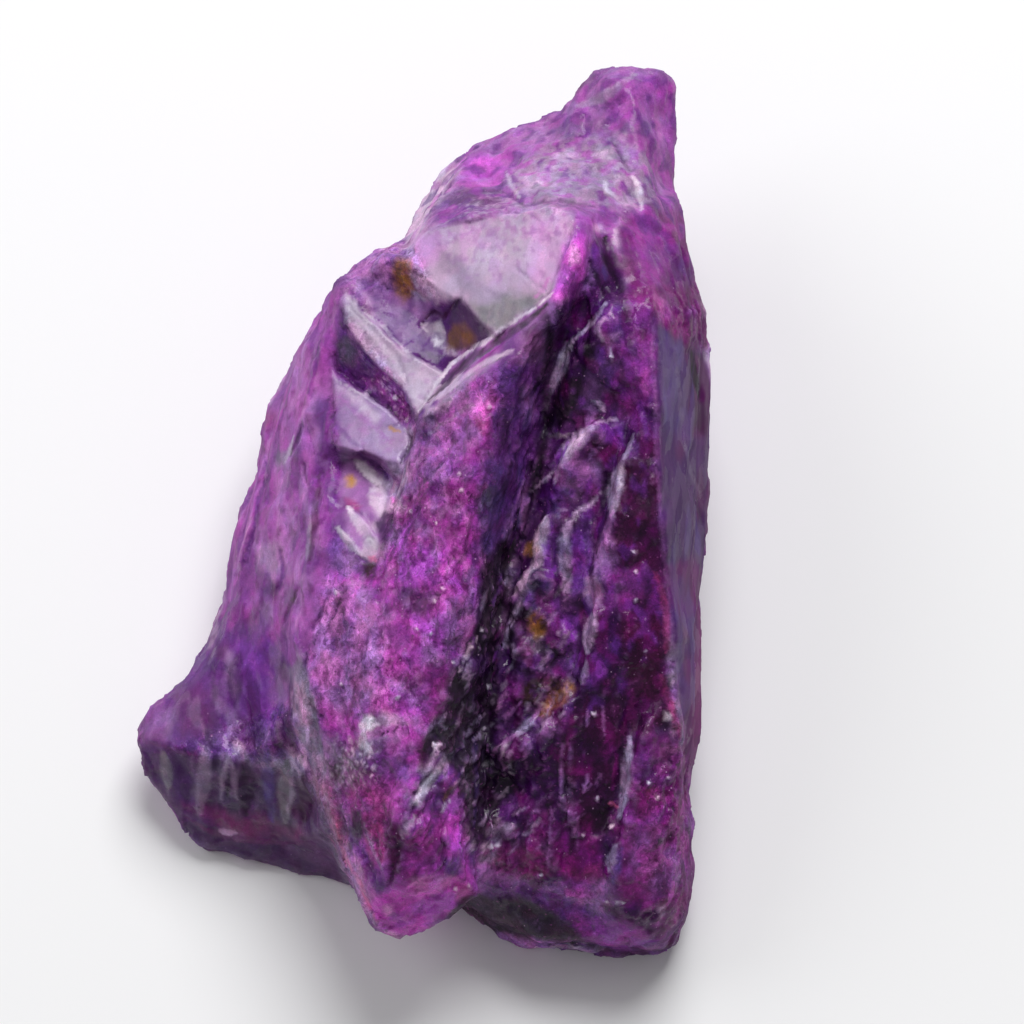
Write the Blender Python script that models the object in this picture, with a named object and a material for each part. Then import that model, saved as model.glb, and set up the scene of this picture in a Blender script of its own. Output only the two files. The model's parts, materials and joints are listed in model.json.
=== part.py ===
"""A rough sapphire crystal: one broken, flat-based piece of corundum with a long ridge, a stepped notch and a deep groove.

The stone is modelled from its break lines, the edges along which its fracture faces meet. They are given
in the face frame, whose plane is the ridged face of the stone: across, along and out of that face. The
frame is then tilted to the way the stone lies at rest on its flat parting face.
"""

import math
import random

import bmesh
import bpy
from mathutils import Matrix, Vector, kdtree, noise
from mathutils.geometry import delaunay_2d_cdt

MM = 0.001

# How the ridged face lies above the flat parting face, in millimetres and degrees.
FACE_TILT = 15.0
FACE_HEIGHT = 12.0
FACE_ACROSS = 5.25
FACE_ALONG = -1.1

# The outer edge of the ridged face, clockwise from the tip: across, along, out of the face, in mm.
OUTLINE = [
    (7.1, 28.1, -5.0), (9.2, 27.6, -5.0), (10.2, 26.4, -5.5), (10.3, 23.3, -5.0), (10.2, 20.4, -5.0),
    (10.8, 17.8, -4.5), (11.3, 15.1, -4.0), (12.1, 12.9, -3.5), (12.3, 10.2, -3.5), (12.4, 5.1, -4.0),
    (12.2, -0.5, -4.0), (12.1, -3.6, -4.0), (11.8, -8.0, -4.0), (11.9, -11.1, -4.0), (11.6, -14.6, -4.0),
    (11.1, -16.2, -3.5), (11.0, -18.0, -2.0), (11.5, -19.3, -1.5), (11.3, -22.4, -2.0), (10.8, -25.2, -2.5),
    (9.8, -26.6, -3.0), (8.0, -27.4, -3.5), (6.4, -27.4, -4.0), (4.3, -26.6, -4.8), (1.1, -25.8, -5.2),
    (-1.4, -25.3, -5.3), (-3.6, -24.5, -5.5), (-7.0, -24.0, -5.5), (-10.4, -23.5, -5.6), (-13.2, -22.8, -5.8),
    (-16.4, -21.9, -5.8), (-19.2, -21.0, -5.8), (-20.9, -19.7, -5.8), (-21.8, -18.0, -5.5), (-22.5, -16.1, -5.0),
    (-23.2, -14.3, -4.5), (-22.6, -12.3, -5.0), (-20.8, -10.2, -6.0), (-19.2, -8.0, -7.0), (-18.1, -6.0, -7.5),
    (-17.8, -3.6, -7.5), (-17.2, -0.8, -7.5), (-16.2, 2.0, -7.5), (-15.6, 5.1, -7.5), (-15.0, 7.6, -7.5),
    (-13.9, 9.8, -7.0), (-12.5, 12.3, -6.0), (-11.2, 14.4, -3.5), (-9.8, 15.7, -2.5), (-7.9, 16.7, -2.5),
    (-6.8, 17.2, -5.5), (-5.8, 19.5, -7.5), (-4.7, 21.7, -8.0), (-3.2, 22.8, -7.5), (-0.7, 24.0, -6.0),
    (1.8, 24.9, -6.0), (3.6, 25.9, -6.0), (5.3, 27.3, -5.5),
]

# The break lines inside that edge. They never cross, so the faces between them are their triangulation.
BREAK_LINES = {
    "head crest": [(7.6, 26.0, -2.8), (8.2, 22.6, -1.2), (8.5, 19.0, 1.5), (8.4, 15.8, 5.0), (8.7, 12.6, 7.0)],
    "head ledge": [(4.2, 25.2, -3.4), (6.6, 26.8, -3.0)],
    "head hollow": [(-1.6, 21.4, -2.6), (1.0, 22.6, -2.6), (3.6, 23.4, -2.8), (6.2, 24.2, -2.4)],
    "head band": [(-1.2, 20.2, -0.2), (1.2, 21.0, 0.0), (3.6, 21.6, 0.2), (6.4, 21.4, 0.6)],
    "head rim": [(-6.0, 17.4, 0.6), (-5.0, 18.9, -0.2), (-3.9, 20.4, -1.4), (-2.8, 22.0, -3.2), (-1.8, 22.9, -4.6)],
    "head rim foot": [(-6.3, 17.6, -4.2), (-5.4, 19.3, -5.8), (-4.3, 21.1, -6.4), (-3.1, 22.3, -6.4)],
    "window top step": [(-4.8, 18.2, 1.4), (-2.4, 18.9, 2.2), (0.5, 19.0, 2.8), (3.0, 19.5, 3.4), (5.6, 19.0, 3.6)],
    "window top edge": [(-4.8, 17.7, 3.0), (-2.4, 18.4, 3.9), (0.5, 18.4, 5.0), (3.2, 18.8, 6.2), (4.6, 17.6, 7.0)],
    "window low edge": [(-7.6, 16.1, 2.2), (-6.2, 15.4, 3.3), (-3.6, 13.2, 4.7), (-1.2, 11.2, 5.7)],
    "upper riser foot": [(-9.6, 14.6, 0.8), (-6.4, 13.2, 1.2), (-4.4, 11.6, 1.9), (-3.5, 9.9, 2.6)],
    "second tread top": [(-10.4, 13.4, 1.2), (-9.2, 12.0, 1.9), (-6.8, 9.8, 2.8), (-4.6, 8.3, 3.6)],
    "second tread low": [(-10.5, 11.8, 1.9), (-8.8, 9.6, 3.1), (-6.8, 7.4, 3.9), (-6.0, 6.4, 4.1)],
    "second riser foot": [(-10.4, 9.6, 0.8), (-8.6, 7.6, 0.5), (-6.9, 5.6, 1.3)],
    "third tread top": [(-10.6, 8.4, 1.8), (-8.8, 6.6, 2.4), (-6.7, 4.8, 3.2)],
    "third tread low": [(-10.7, 4.9, 3.2), (-9.2, 3.9, 4.0), (-7.0, 2.6, 4.5)],
    "third riser foot": [(-10.5, 4.1, 2.1), (-8.8, 2.9, 1.9), (-7.5, 1.4, 2.7)],
    "fourth tread low": [(-10.6, 0.2, 3.7), (-9.4, -2.6, 4.5)],
    "notch wall foot": [(2.3, 13.9, 7.4), (-0.9, 11.1, 5.4), (-3.3, 9.2, 3.9), (-4.4, 8.1, 3.7), (-5.8, 6.3, 3.9)],
    "notch wall top": [(3.0, 13.2, 8.4), (0.2, 10.4, 7.9), (-2.6, 8.7, 7.2), (-4.4, 7.2, 6.4), (-5.9, 5.6, 5.8)],
    "notch side foot": [(-6.4, 4.6, 3.6), (-7.0, 1.8, 4.2), (-7.8, -0.4, 4.5), (-9.0, -3.2, 4.8)],
    "notch side top": [(-6.0, 4.4, 5.8), (-6.5, 2.0, 6.0), (-7.2, -0.6, 6.1), (-8.4, -3.8, 5.8)],
    "spine": [
        (2.2, 12.4, 8.6), (-0.8, 8.2, 8.9), (-2.4, 3.4, 9.3), (-3.4, -1.8, 9.6), (-4.1, -6.8, 9.6),
        (-5.0, -11.8, 9.2), (-5.8, -15.6, 8.6), (-6.6, -19.2, 7.8),
    ],
    "ridge shoulder": [
        (-5.2, 2.8, 7.6), (-6.2, -1.8, 8.0), (-7.2, -6.8, 8.0), (-8.4, -11.8, 7.6), (-9.0, -15.6, 6.8), (-9.0, -19.2, 6.0),
    ],
    "low shoulder": [(-10.0, -5.6, 6.0), (-10.8, -10.4, 5.8), (-10.9, -14.2, 5.2), (-10.2, -18.0, 4.8)],
    "block front": [(-10.2, -21.6, 3.4), (-7.0, -22.2, 5.6), (-3.6, -22.4, 4.6)],
    "groove edge": [
        (3.2, 12.0, 7.8), (0.8, 8.6, 7.9), (-0.6, 5.0, 7.9), (-1.4, 1.2, 7.8), (-2.0, -3.0, 7.7),
        (-2.2, -6.8, 7.5), (-3.1, -10.4, 7.4), (-4.2, -13.8, 7.2), (-4.0, -17.0, 6.2), (-3.2, -20.6, 5.2),
    ],
    "groove bottom": [
        (4.9, 16.2, 6.4), (4.0, 13.0, 5.8), (2.8, 10.0, 4.8), (1.6, 5.8, 3.9), (0.5, 2.0, 3.4), (-0.3, -1.8, 3.3),
        (-0.9, -5.6, 3.3), (-1.4, -9.2, 3.2), (-2.0, -13.0, 3.0), (-1.9, -16.8, 2.6), (-1.6, -21.0, 2.0),
    ],
    "summit": [(3.9, 15.4, 8.4), (3.4, 14.2, 8.6)],
    "first step foot": [(5.2, 12.6, 6.2), (3.7, 10.2, 5.2), (3.0, 7.6, 4.6), (2.5, 5.2, 4.0)],
    "first step top": [(5.9, 12.2, 7.6), (4.2, 9.9, 6.6), (3.5, 7.4, 6.0), (3.0, 4.9, 5.4)],
    "second step foot": [(4.7, 5.6, 5.4), (2.8, 3.4, 4.8), (2.0, 0.6, 4.4), (0.9, -2.8, 4.0), (0.1, -6.2, 3.8), (-0.4, -9.4, 3.6)],
    "second step top": [(5.2, 5.2, 6.4), (3.4, 3.0, 5.8), (2.6, 0.4, 5.4), (1.5, -3.0, 5.0), (0.7, -6.4, 4.8), (0.2, -9.6, 4.4)],
    "main step foot": [
        (7.2, 5.8, 5.8), (6.3, 2.0, 5.4), (5.2, -1.2, 5.2), (4.7, -4.8, 5.0), (4.3, -8.4, 4.7), (3.3, -11.4, 4.4),
        (1.5, -13.4, 4.0), (-0.6, -14.4, 3.4),
    ],
    "main step top": [
        (7.8, 5.6, 7.2), (6.9, 1.9, 6.8), (5.8, -1.4, 6.5), (5.3, -4.9, 6.2), (4.9, -8.6, 5.9), (3.9, -11.9, 5.6),
        (1.8, -14.0, 5.0), (-0.4, -15.2, 4.4),
    ],
    "low step foot": [(7.7, -13.0, 4.2), (6.9, -16.8, 3.8), (6.2, -20.5, 3.4), (5.5, -22.8, 2.8)],
    "low step top": [(8.4, -13.0, 5.4), (7.5, -16.8, 5.0), (6.8, -20.5, 4.4), (6.1, -23.0, 3.6)],
    "plateau": [(2.6, -17.2, 3.8), (2.8, -21.4, 3.2)],
    "right crest": [
        (8.9, 7.0, 7.8), (9.1, 0.8, 7.6), (9.4, -3.6, 7.0), (10.0, -6.8, 6.0), (10.4, -10.6, 5.0),
        (10.6, -14.6, 4.0), (10.5, -17.8, 3.0),
    ],
    "right side": [
        (10.2, 20.0, -1.5), (10.4, 15.8, 2.2), (11.3, 12.2, 3.2), (11.2, 5.1, 2.2), (11.2, -0.6, 2.0), (11.2, -5.6, 1.6),
        (11.3, -10.6, 0.4), (11.2, -14.4, -0.6),
    ],
    "lump": [(8.8, -20.8, 4.0), (9.4, -23.6, 3.0), (7.4, -25.2, 2.4)],
    "front edge": [
        (-1.6, -23.6, 1.4), (0.5, -24.1, 1.2), (2.8, -24.8, 1.0), (5.5, -26.0, 0.4), (8.0, -26.5, 0.0), (9.9, -25.2, 0.4),
        (10.8, -22.8, 0.8), (10.9, -19.8, 1.0),
    ],
    "left crest": [
        (-10.9, 14.2, 0.6), (-11.3, 11.6, 1.0), (-11.5, 7.4, 0.9), (-11.7, 3.4, 2.2), (-12.0, -0.4, 3.4),
        (-12.5, -4.2, 4.2), (-13.0, -8.2, 4.2), (-12.9, -12.3, 4.0), (-12.0, -15.8, 3.6), (-11.2, -19.4, 3.2),
    ],
    "flank middle": [
        (-12.2, 10.2, 0.4), (-12.9, 6.0, 0.6), (-13.4, 1.0, 1.0), (-13.9, -3.6, 1.2), (-14.4, -7.8, 0.8), (-14.3, -11.4, 0.4),
    ],
    "flank low": [(-13.2, 10.4, -2.6), (-14.6, 5.8, -3.0), (-15.4, 2.0, -3.0), (-16.5, -2.4, -2.8), (-17.0, -6.2, -3.0)],
    "lobe back": [(-20.4, -11.4, -3.4), (-18.2, -9.4, -2.6), (-16.2, -9.0, -1.2)],
    "lobe crest": [(-22.2, -14.0, -3.0), (-19.4, -15.0, -1.8), (-16.4, -15.6, -1.2), (-13.9, -16.4, -0.8), (-12.6, -18.2, -1.4)],
    "lobe foot": [(-21.4, -17.4, -4.6), (-20.2, -19.2, -4.9), (-17.4, -20.2, -4.6), (-13.9, -20.8, -4.4), (-11.4, -21.9, -4.2)],
}

# The spur is the end of the ridge, which stands out over the front. It is the hull of its own corners.
SPUR_CORNERS = [
    (-10.2, -17.6, 4.4), (-6.8, -17.6, 8.6), (-3.9, -17.6, 6.4),
    (-7.9, -23.4, 6.2), (-6.4, -22.5, 7.0), (-4.5, -22.3, 6.8), (-2.1, -23.7, 4.6), (-2.9, -21.0, 5.6),
    (-8.5, -25.9, 3.0), (-7.0, -26.6, 2.5), (-5.4, -26.2, 2.5), (-3.7, -25.0, 3.3),
    (-10.4, -21.9, 3.4), (-9.6, -23.9, 3.1),
    (-7.9, -25.0, 0.6), (-5.4, -25.2, 0.5), (-2.9, -23.7, 1.4),
    (-10.0, -21.0, -2.0), (-7.0, -21.4, -3.0), (-3.2, -21.4, -2.0),
]

# The sides lean inwards from the outer edge down to the parting face, in two belts that swell a little.
SIDE_LEAN = 0.30
BELTS = [(0.34, 0.55), (0.70, 0.75), (1.0, 0.0)]
MOST_LEAN = 5.0
BELT_LIFT = 0.08
BELT_PUSH = 0.7
BELOW_BASE = 0.6

# Flat cleavage faces of the sides, at rest: a point on the face, in mm, and the direction that it looks in.
CLEAVAGES = {
    "under the tip": ((12.5, 27.0, 12.8), (0.10, 0.85, -0.52)),
    "right side": ((17.9, 5.0, 8.5), (0.90, 0.05, -0.43)),
    "right side back": ((16.3, 20.0, 12.6), (0.88, 0.25, -0.40)),
    "left back": ((-3.0, 19.9, 9.9), (-0.62, 0.50, -0.60)),
    "left side": ((-9.9, 8.0, 5.9), (-0.80, 0.35, -0.49)),
    "under the lobe": ((-17.4, -13.7, 3.0), (-0.72, -0.10, -0.68)),
}

# The skin between the break lines: grain of the mesh, and depth of each kind of relief, in mm.
GRAIN = 0.36
SOFTENING = 2
HACKLE_SPACING = 3.0
HACKLE_TILT = 0.075
HACKLE_DEPTH = 0.16
HACKLE_STRETCH = 2.2
TERRACE_SPACING = 2.6
TERRACE_DEPTH = 0.36
STRIATION_WIDTH = 0.9
STRIATION_LENGTH = 9.0
STRIATION_DEPTH = 0.11
TRIANGLES = 10600

# The stepped notch is smooth to the touch: its middle and reach across and along the ridged face, in mm.
SMOOTH_MIDDLE = (-6.2, 9.0)
SMOOTH_REACH = (5.6, 11.0)
SMOOTH_SHARE = 0.25

PURPLE = (0.11, 0.012, 0.16, 1.0)
ROUGHNESS = 0.42


def rest_frame():
    """The matrix from the face frame, in millimetres, to the stone at rest, in metres."""
    tilt = Matrix.Rotation(math.radians(FACE_TILT), 4, "X")
    place = Matrix.Translation(Vector((FACE_ACROSS, FACE_ALONG, FACE_HEIGHT)))
    return Matrix.Scale(MM, 4) @ place @ tilt


def break_line_faces():
    """The points of all break lines in the face frame, and the triangles between them."""
    points = []
    index = {}
    edges = []

    def number(point):
        key = (round(point[0], 3), round(point[1], 3))
        if key not in index:
            index[key] = len(points)
            points.append(point)
        return index[key]

    rim = [number(p) for p in OUTLINE]
    edges += [(rim[i], rim[(i + 1) % len(rim)]) for i in range(len(rim))]
    for line in BREAK_LINES.values():
        numbers = [number(p) for p in line]
        edges += list(zip(numbers, numbers[1:]))
    flat = [Vector(p[:2]) for p in points]
    made, _, triangles, _, _, _ = delaunay_2d_cdt(flat, edges, [], 1, 1e-6)
    assert len(made) == len(points), "two break lines cross"
    return points, rim, triangles


def lean_of(point, height):
    """How far the side under a point of the outer edge leans in, as a vector in the rest frame's plane."""
    spine_at = max(-13.0 * MM, min(14.0 * MM, point.y))
    inwards = Vector((0.0, spine_at, 0.0)) - Vector((point.x, point.y, 0.0))
    reach = min(MOST_LEAN * MM, SIDE_LEAN * height)
    return inwards.normalized() * reach


def stone_body(frame):
    """The closed body from the ridged face to a little below the parting face, with uneven sides."""
    chance = random.Random(7)
    points, rim, triangles = break_line_faces()
    body = bmesh.new()
    top = [body.verts.new(frame @ Vector(p)) for p in points]
    for triangle in triangles:
        body.faces.new([top[i] for i in triangle])
    ring = [top[i] for i in rim]
    for share, swell in BELTS:
        lower = []
        for i in rim:
            edge = top[i].co
            height = max(edge.z, 0.3 * MM)
            lean = lean_of(edge, height)
            lift = 0.0 if share == 1.0 else chance.uniform(-BELT_LIFT, BELT_LIFT)
            push = swell + (0.0 if share == 1.0 else chance.uniform(-BELT_PUSH, BELT_PUSH))
            outwards = -lean.normalized() * push * MM * min(1.0, height / (6.0 * MM))
            at = edge + lean * share + outwards
            down = height * (1.0 - share + lift) - (BELOW_BASE * MM if share == 1.0 else 0.0)
            lower.append(body.verts.new((at.x, at.y, down)))
        for i in range(len(ring)):
            after = (i + 1) % len(ring)
            body.faces.new((ring[i], ring[after], lower[after], lower[i]))
        ring = lower
    body.faces.new(ring)
    bmesh.ops.triangulate(body, faces=body.faces[:])
    bmesh.ops.recalc_face_normals(body, faces=body.faces[:])
    return body


def cut_flat(body, point, outwards):
    """Takes away what lies beyond a plane, and closes the body with a flat face."""
    parts = body.verts[:] + body.edges[:] + body.faces[:]
    bmesh.ops.bisect_plane(
        body, geom=parts, dist=1e-7, plane_co=point, plane_no=outwards, clear_outer=True
    )
    rim = [edge for edge in body.edges if edge.is_boundary]
    if rim:
        bmesh.ops.holes_fill(body, edges=rim, sides=0)
    bmesh.ops.triangulate(body, faces=[face for face in body.faces if len(face.verts) > 3])


def cleave_sides(body):
    for point, outwards in CLEAVAGES.values():
        cut_flat(body, Vector(point) * MM, Vector(outwards).normalized())


def spur_block(frame):
    """The spur, as the convex hull of its corners."""
    spur = bmesh.new()
    for corner in SPUR_CORNERS:
        spur.verts.new(frame @ Vector(corner))
    made = bmesh.ops.convex_hull(spur, input=spur.verts[:])
    bmesh.ops.delete(spur, geom=made["geom_interior"], context="VERTS")
    bmesh.ops.recalc_face_normals(spur, faces=spur.faces[:])
    return spur


def mesh_object(name, shape):
    mesh = bpy.data.meshes.new(name)
    shape.to_mesh(mesh)
    shape.free()
    made = bpy.data.objects.new(name, mesh)
    bpy.context.scene.collection.objects.link(made)
    return made


def settle(made):
    """Makes the object's mesh what its modifiers show, and clears them."""
    graph = bpy.context.evaluated_depsgraph_get()
    shown = bpy.data.meshes.new_from_object(made.evaluated_get(graph))
    made.modifiers.clear()
    made.data = shown


def join_and_grain(stone, spur):
    """Joins the spur to the stone, and gives both one even mesh."""
    union = stone.modifiers.new("spur", "BOOLEAN")
    union.operation = "UNION"
    union.object = spur
    remesh = stone.modifiers.new("grain", "REMESH")
    remesh.mode = "VOXEL"
    remesh.voxel_size = GRAIN * MM
    settle(stone)
    bpy.data.objects.remove(spur)


def scattered_points(chance, spacing):
    """Seeded points through the stone's box, about one to each cube of the spacing, in mm."""
    reach = Vector((24.0, 30.0, 14.0))
    count = int(8.0 * reach.x * reach.y * reach.z / spacing**3)
    tree = kdtree.KDTree(count)
    tilts = []
    for i in range(count):
        tree.insert([chance.uniform(-r, r) for r in reach], i)
        tilts.append(Vector([chance.gauss(0.0, HACKLE_TILT) for _ in range(3)]))
    tree.balance()
    return tree, tilts


def terrace(place):
    """A fall and rise from 0 to 1 that runs slowly up and drops at once, as the steps of a cleavage do."""
    wander = noise.noise(place * 0.09) * 1.3
    along = (0.62 * place.z + 0.22 * place.y + 0.30 * place.x) / TERRACE_SPACING + wander
    share = along - math.floor(along)
    return share if share < 0.85 else (1.0 - share) / 0.15 * 0.85


def relief(place, outwards, hackle, tilts):
    """How far the skin stands out at a place of the face frame, in mm."""
    drawn_in = Vector((place.x, place.y / HACKLE_STRETCH, place.z))
    centre, number, _ = hackle.find(drawn_in)
    facet = tilts[number].dot(drawn_in - centre)
    depth = max(-HACKLE_DEPTH, min(HACKLE_DEPTH, facet))
    side = max(0.0, min(1.0, (0.55 - outwards.z) / 0.35))
    depth += side * (terrace(place) - 0.5) * TERRACE_DEPTH
    across = place / STRIATION_WIDTH
    across.y = place.y / STRIATION_LENGTH
    depth += noise.noise(across) * STRIATION_DEPTH
    off_x = (place.x - SMOOTH_MIDDLE[0]) / SMOOTH_REACH[0]
    off_y = (place.y - SMOOTH_MIDDLE[1]) / SMOOTH_REACH[1]
    rough = max(SMOOTH_SHARE, min(1.0, 2.0 * math.hypot(off_x, off_y) - 1.0))
    return depth * rough


def break_the_skin(stone, frame):
    """Softens the even mesh a little, then works the fine relief into it."""
    chance = random.Random(23)
    hackle, tilts = scattered_points(chance, HACKLE_SPACING)
    to_face = frame.inverted()
    turn = to_face.to_3x3().normalized()
    skin = bmesh.new()
    skin.from_mesh(stone.data)
    for _ in range(SOFTENING):
        bmesh.ops.smooth_vert(skin, verts=skin.verts[:], factor=0.5, use_axis_x=True, use_axis_y=True, use_axis_z=True)
    skin.normal_update()
    moved = []
    for vert in skin.verts:
        depth = relief(to_face @ vert.co, turn @ vert.normal, hackle, tilts)
        moved.append(vert.co + vert.normal * depth * MM)
    for vert, at in zip(skin.verts, moved):
        vert.co = at
    skin.to_mesh(stone.data)
    skin.free()


def thin_out(stone):
    """Brings the mesh down to its triangle count, most of them left along the breaks."""
    stone.data.calc_loop_triangles()
    fewer = stone.modifiers.new("fewer", "DECIMATE")
    fewer.ratio = TRIANGLES / len(stone.data.loop_triangles)
    settle(stone)


def cut_base(stone):
    """The flat parting face that the stone rests on."""
    body = bmesh.new()
    body.from_mesh(stone.data)
    cut_flat(body, Vector((0.0, 0.0, 0.0)), Vector((0.0, 0.0, -1.0)))
    body.to_mesh(stone.data)
    body.free()


def stone_material():
    made = bpy.data.materials.new("purple_corundum")
    made.use_nodes = True
    shader = made.node_tree.nodes["Principled BSDF"]
    shader.inputs["Base Color"].default_value = PURPLE
    shader.inputs["Roughness"].default_value = ROUGHNESS
    shader.inputs["Metallic"].default_value = 0.0
    return made


def main():
    for old in list(bpy.data.objects):
        bpy.data.objects.remove(old)
    frame = rest_frame()
    body = stone_body(frame)
    cleave_sides(body)
    stone = mesh_object("sapphire_crystal", body)
    join_and_grain(stone, mesh_object("spur", spur_block(frame)))
    break_the_skin(stone, frame)
    thin_out(stone)
    cut_base(stone)
    stone.data.materials.clear()
    stone.data.materials.append(stone_material())


main()
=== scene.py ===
"""Looks of the rough sapphire crystal: its broken skin, its colours, a floor, soft light and a camera."""

import json
import math
import random

import bpy
import numpy as np
from mathutils import Matrix, Vector, kdtree, noise

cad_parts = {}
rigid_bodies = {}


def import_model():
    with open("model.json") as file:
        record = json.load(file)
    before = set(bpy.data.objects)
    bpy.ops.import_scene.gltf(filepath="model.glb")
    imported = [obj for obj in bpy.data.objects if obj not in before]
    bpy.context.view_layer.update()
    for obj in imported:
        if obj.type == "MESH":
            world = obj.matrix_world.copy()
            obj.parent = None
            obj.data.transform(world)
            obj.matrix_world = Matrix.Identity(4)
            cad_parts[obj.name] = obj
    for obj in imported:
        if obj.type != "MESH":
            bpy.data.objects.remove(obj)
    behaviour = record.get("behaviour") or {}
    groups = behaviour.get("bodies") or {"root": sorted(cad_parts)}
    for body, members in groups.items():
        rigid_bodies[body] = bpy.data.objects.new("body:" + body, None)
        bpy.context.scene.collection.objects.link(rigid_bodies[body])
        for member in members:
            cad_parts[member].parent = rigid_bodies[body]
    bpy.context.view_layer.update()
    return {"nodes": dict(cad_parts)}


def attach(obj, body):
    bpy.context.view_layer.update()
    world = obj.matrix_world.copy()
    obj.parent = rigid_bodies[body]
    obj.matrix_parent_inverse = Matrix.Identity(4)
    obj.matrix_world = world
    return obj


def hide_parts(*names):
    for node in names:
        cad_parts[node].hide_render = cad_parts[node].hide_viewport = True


MM = 0.001

# The face frame lies in the plane of the ridged face: its tilt in degrees and its place in mm.
FACE_TILT = 15.0
FACE_ACROSS = 5.25
FACE_ALONG = -1.1
FACE_HEIGHT = 12.0

# The photograph looks straight at the ridged face: its scale, its middle and the camera's distance in mm.
PIXELS_PER_MM = 16.0
PHOTO_MIDDLE = 512.0
PHOTO_SIZE = 1024.0
CAMERA_DISTANCE = 600.0
SENSOR = 36.0

# Grain of the fine mesh in mm, and its triangles once the sides that the photograph hides are thinned.
GRAIN = 0.2
MOST_TRIANGLES = 196000

# How far a place turns away from the photograph, from all hidden to all shown, and the steps between.
HIDDEN_TURN = (-0.25, -0.05)
HIDDEN_LEVELS = 4

# Rounds of softening, all over and on glassy breaks, and the two moves of a round, in and out.
SOFTENING = 2
GLASS_SOFTENING = 5
EASE = 0.5
REGROW = -0.52

# Light that a level face gets, as a share of a white card's, and the light that any face mirrors.
LIGHT_SHARE = 1.03
MIRROR_SHARE = 0.008
DARKEST = 0.003

# Colours of the stone as the photograph shows them, in sRGB from 0 to 255.
PALETTE = {
    "pale grey": (200, 180, 204),
    "pale pink": (212, 168, 214),
    "orchid": (203, 146, 212),
    "white": (226, 216, 230),
    # The brightest white, for a painted highlight.
    "bright white": (250, 244, 252),
    "lilac": (172, 148, 182),
    "grey lilac": (150, 132, 158),
    "grey green": (136, 132, 138),
    "ash": (110, 102, 120),
    "mauve": (158, 106, 170),
    "light mauve": (178, 126, 188),
    "magenta": (160, 68, 164),
    "hot pink": (205, 110, 196),
    "bright magenta": (200, 84, 204),
    "violet": (98, 52, 124),
    "bright violet": (128, 60, 168),
    "blue violet": (92, 72, 140),
    "deep violet": (62, 28, 78),
    "dusk": (96, 60, 108),
    "plum": (92, 34, 90),
    "dark plum": (58, 18, 58),
    "near black": (34, 20, 38),
    "charcoal": (58, 48, 60),
    "slate": (84, 58, 98),
    "rose": (160, 66, 122),
    "rose pink": (212, 108, 150),
    "ochre": (150, 106, 52),
    "rust": (128, 92, 74),
    "brown": (58, 40, 40),
    "blue dusk": (80, 60, 112),
    "black violet": (42, 22, 54),
    "wine": (72, 14, 62),
    "plum magenta": (112, 30, 104),
    "steel": (96, 86, 104),
    "gold": (186, 136, 52),
    "orchid deep": (164, 92, 172),
    "green grey": (112, 108, 122),
    "side slate": (72, 36, 92),
    # Pale colours that carry painted light: a painted highlight on the lit ledges, and a painted reflection
    # of the lamps in the treads and the window.
    "blade": (178, 162, 194),
    "tread": (180, 164, 186),
    "dim tread": (154, 128, 170),
    "window": (192, 168, 197),
}
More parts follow.
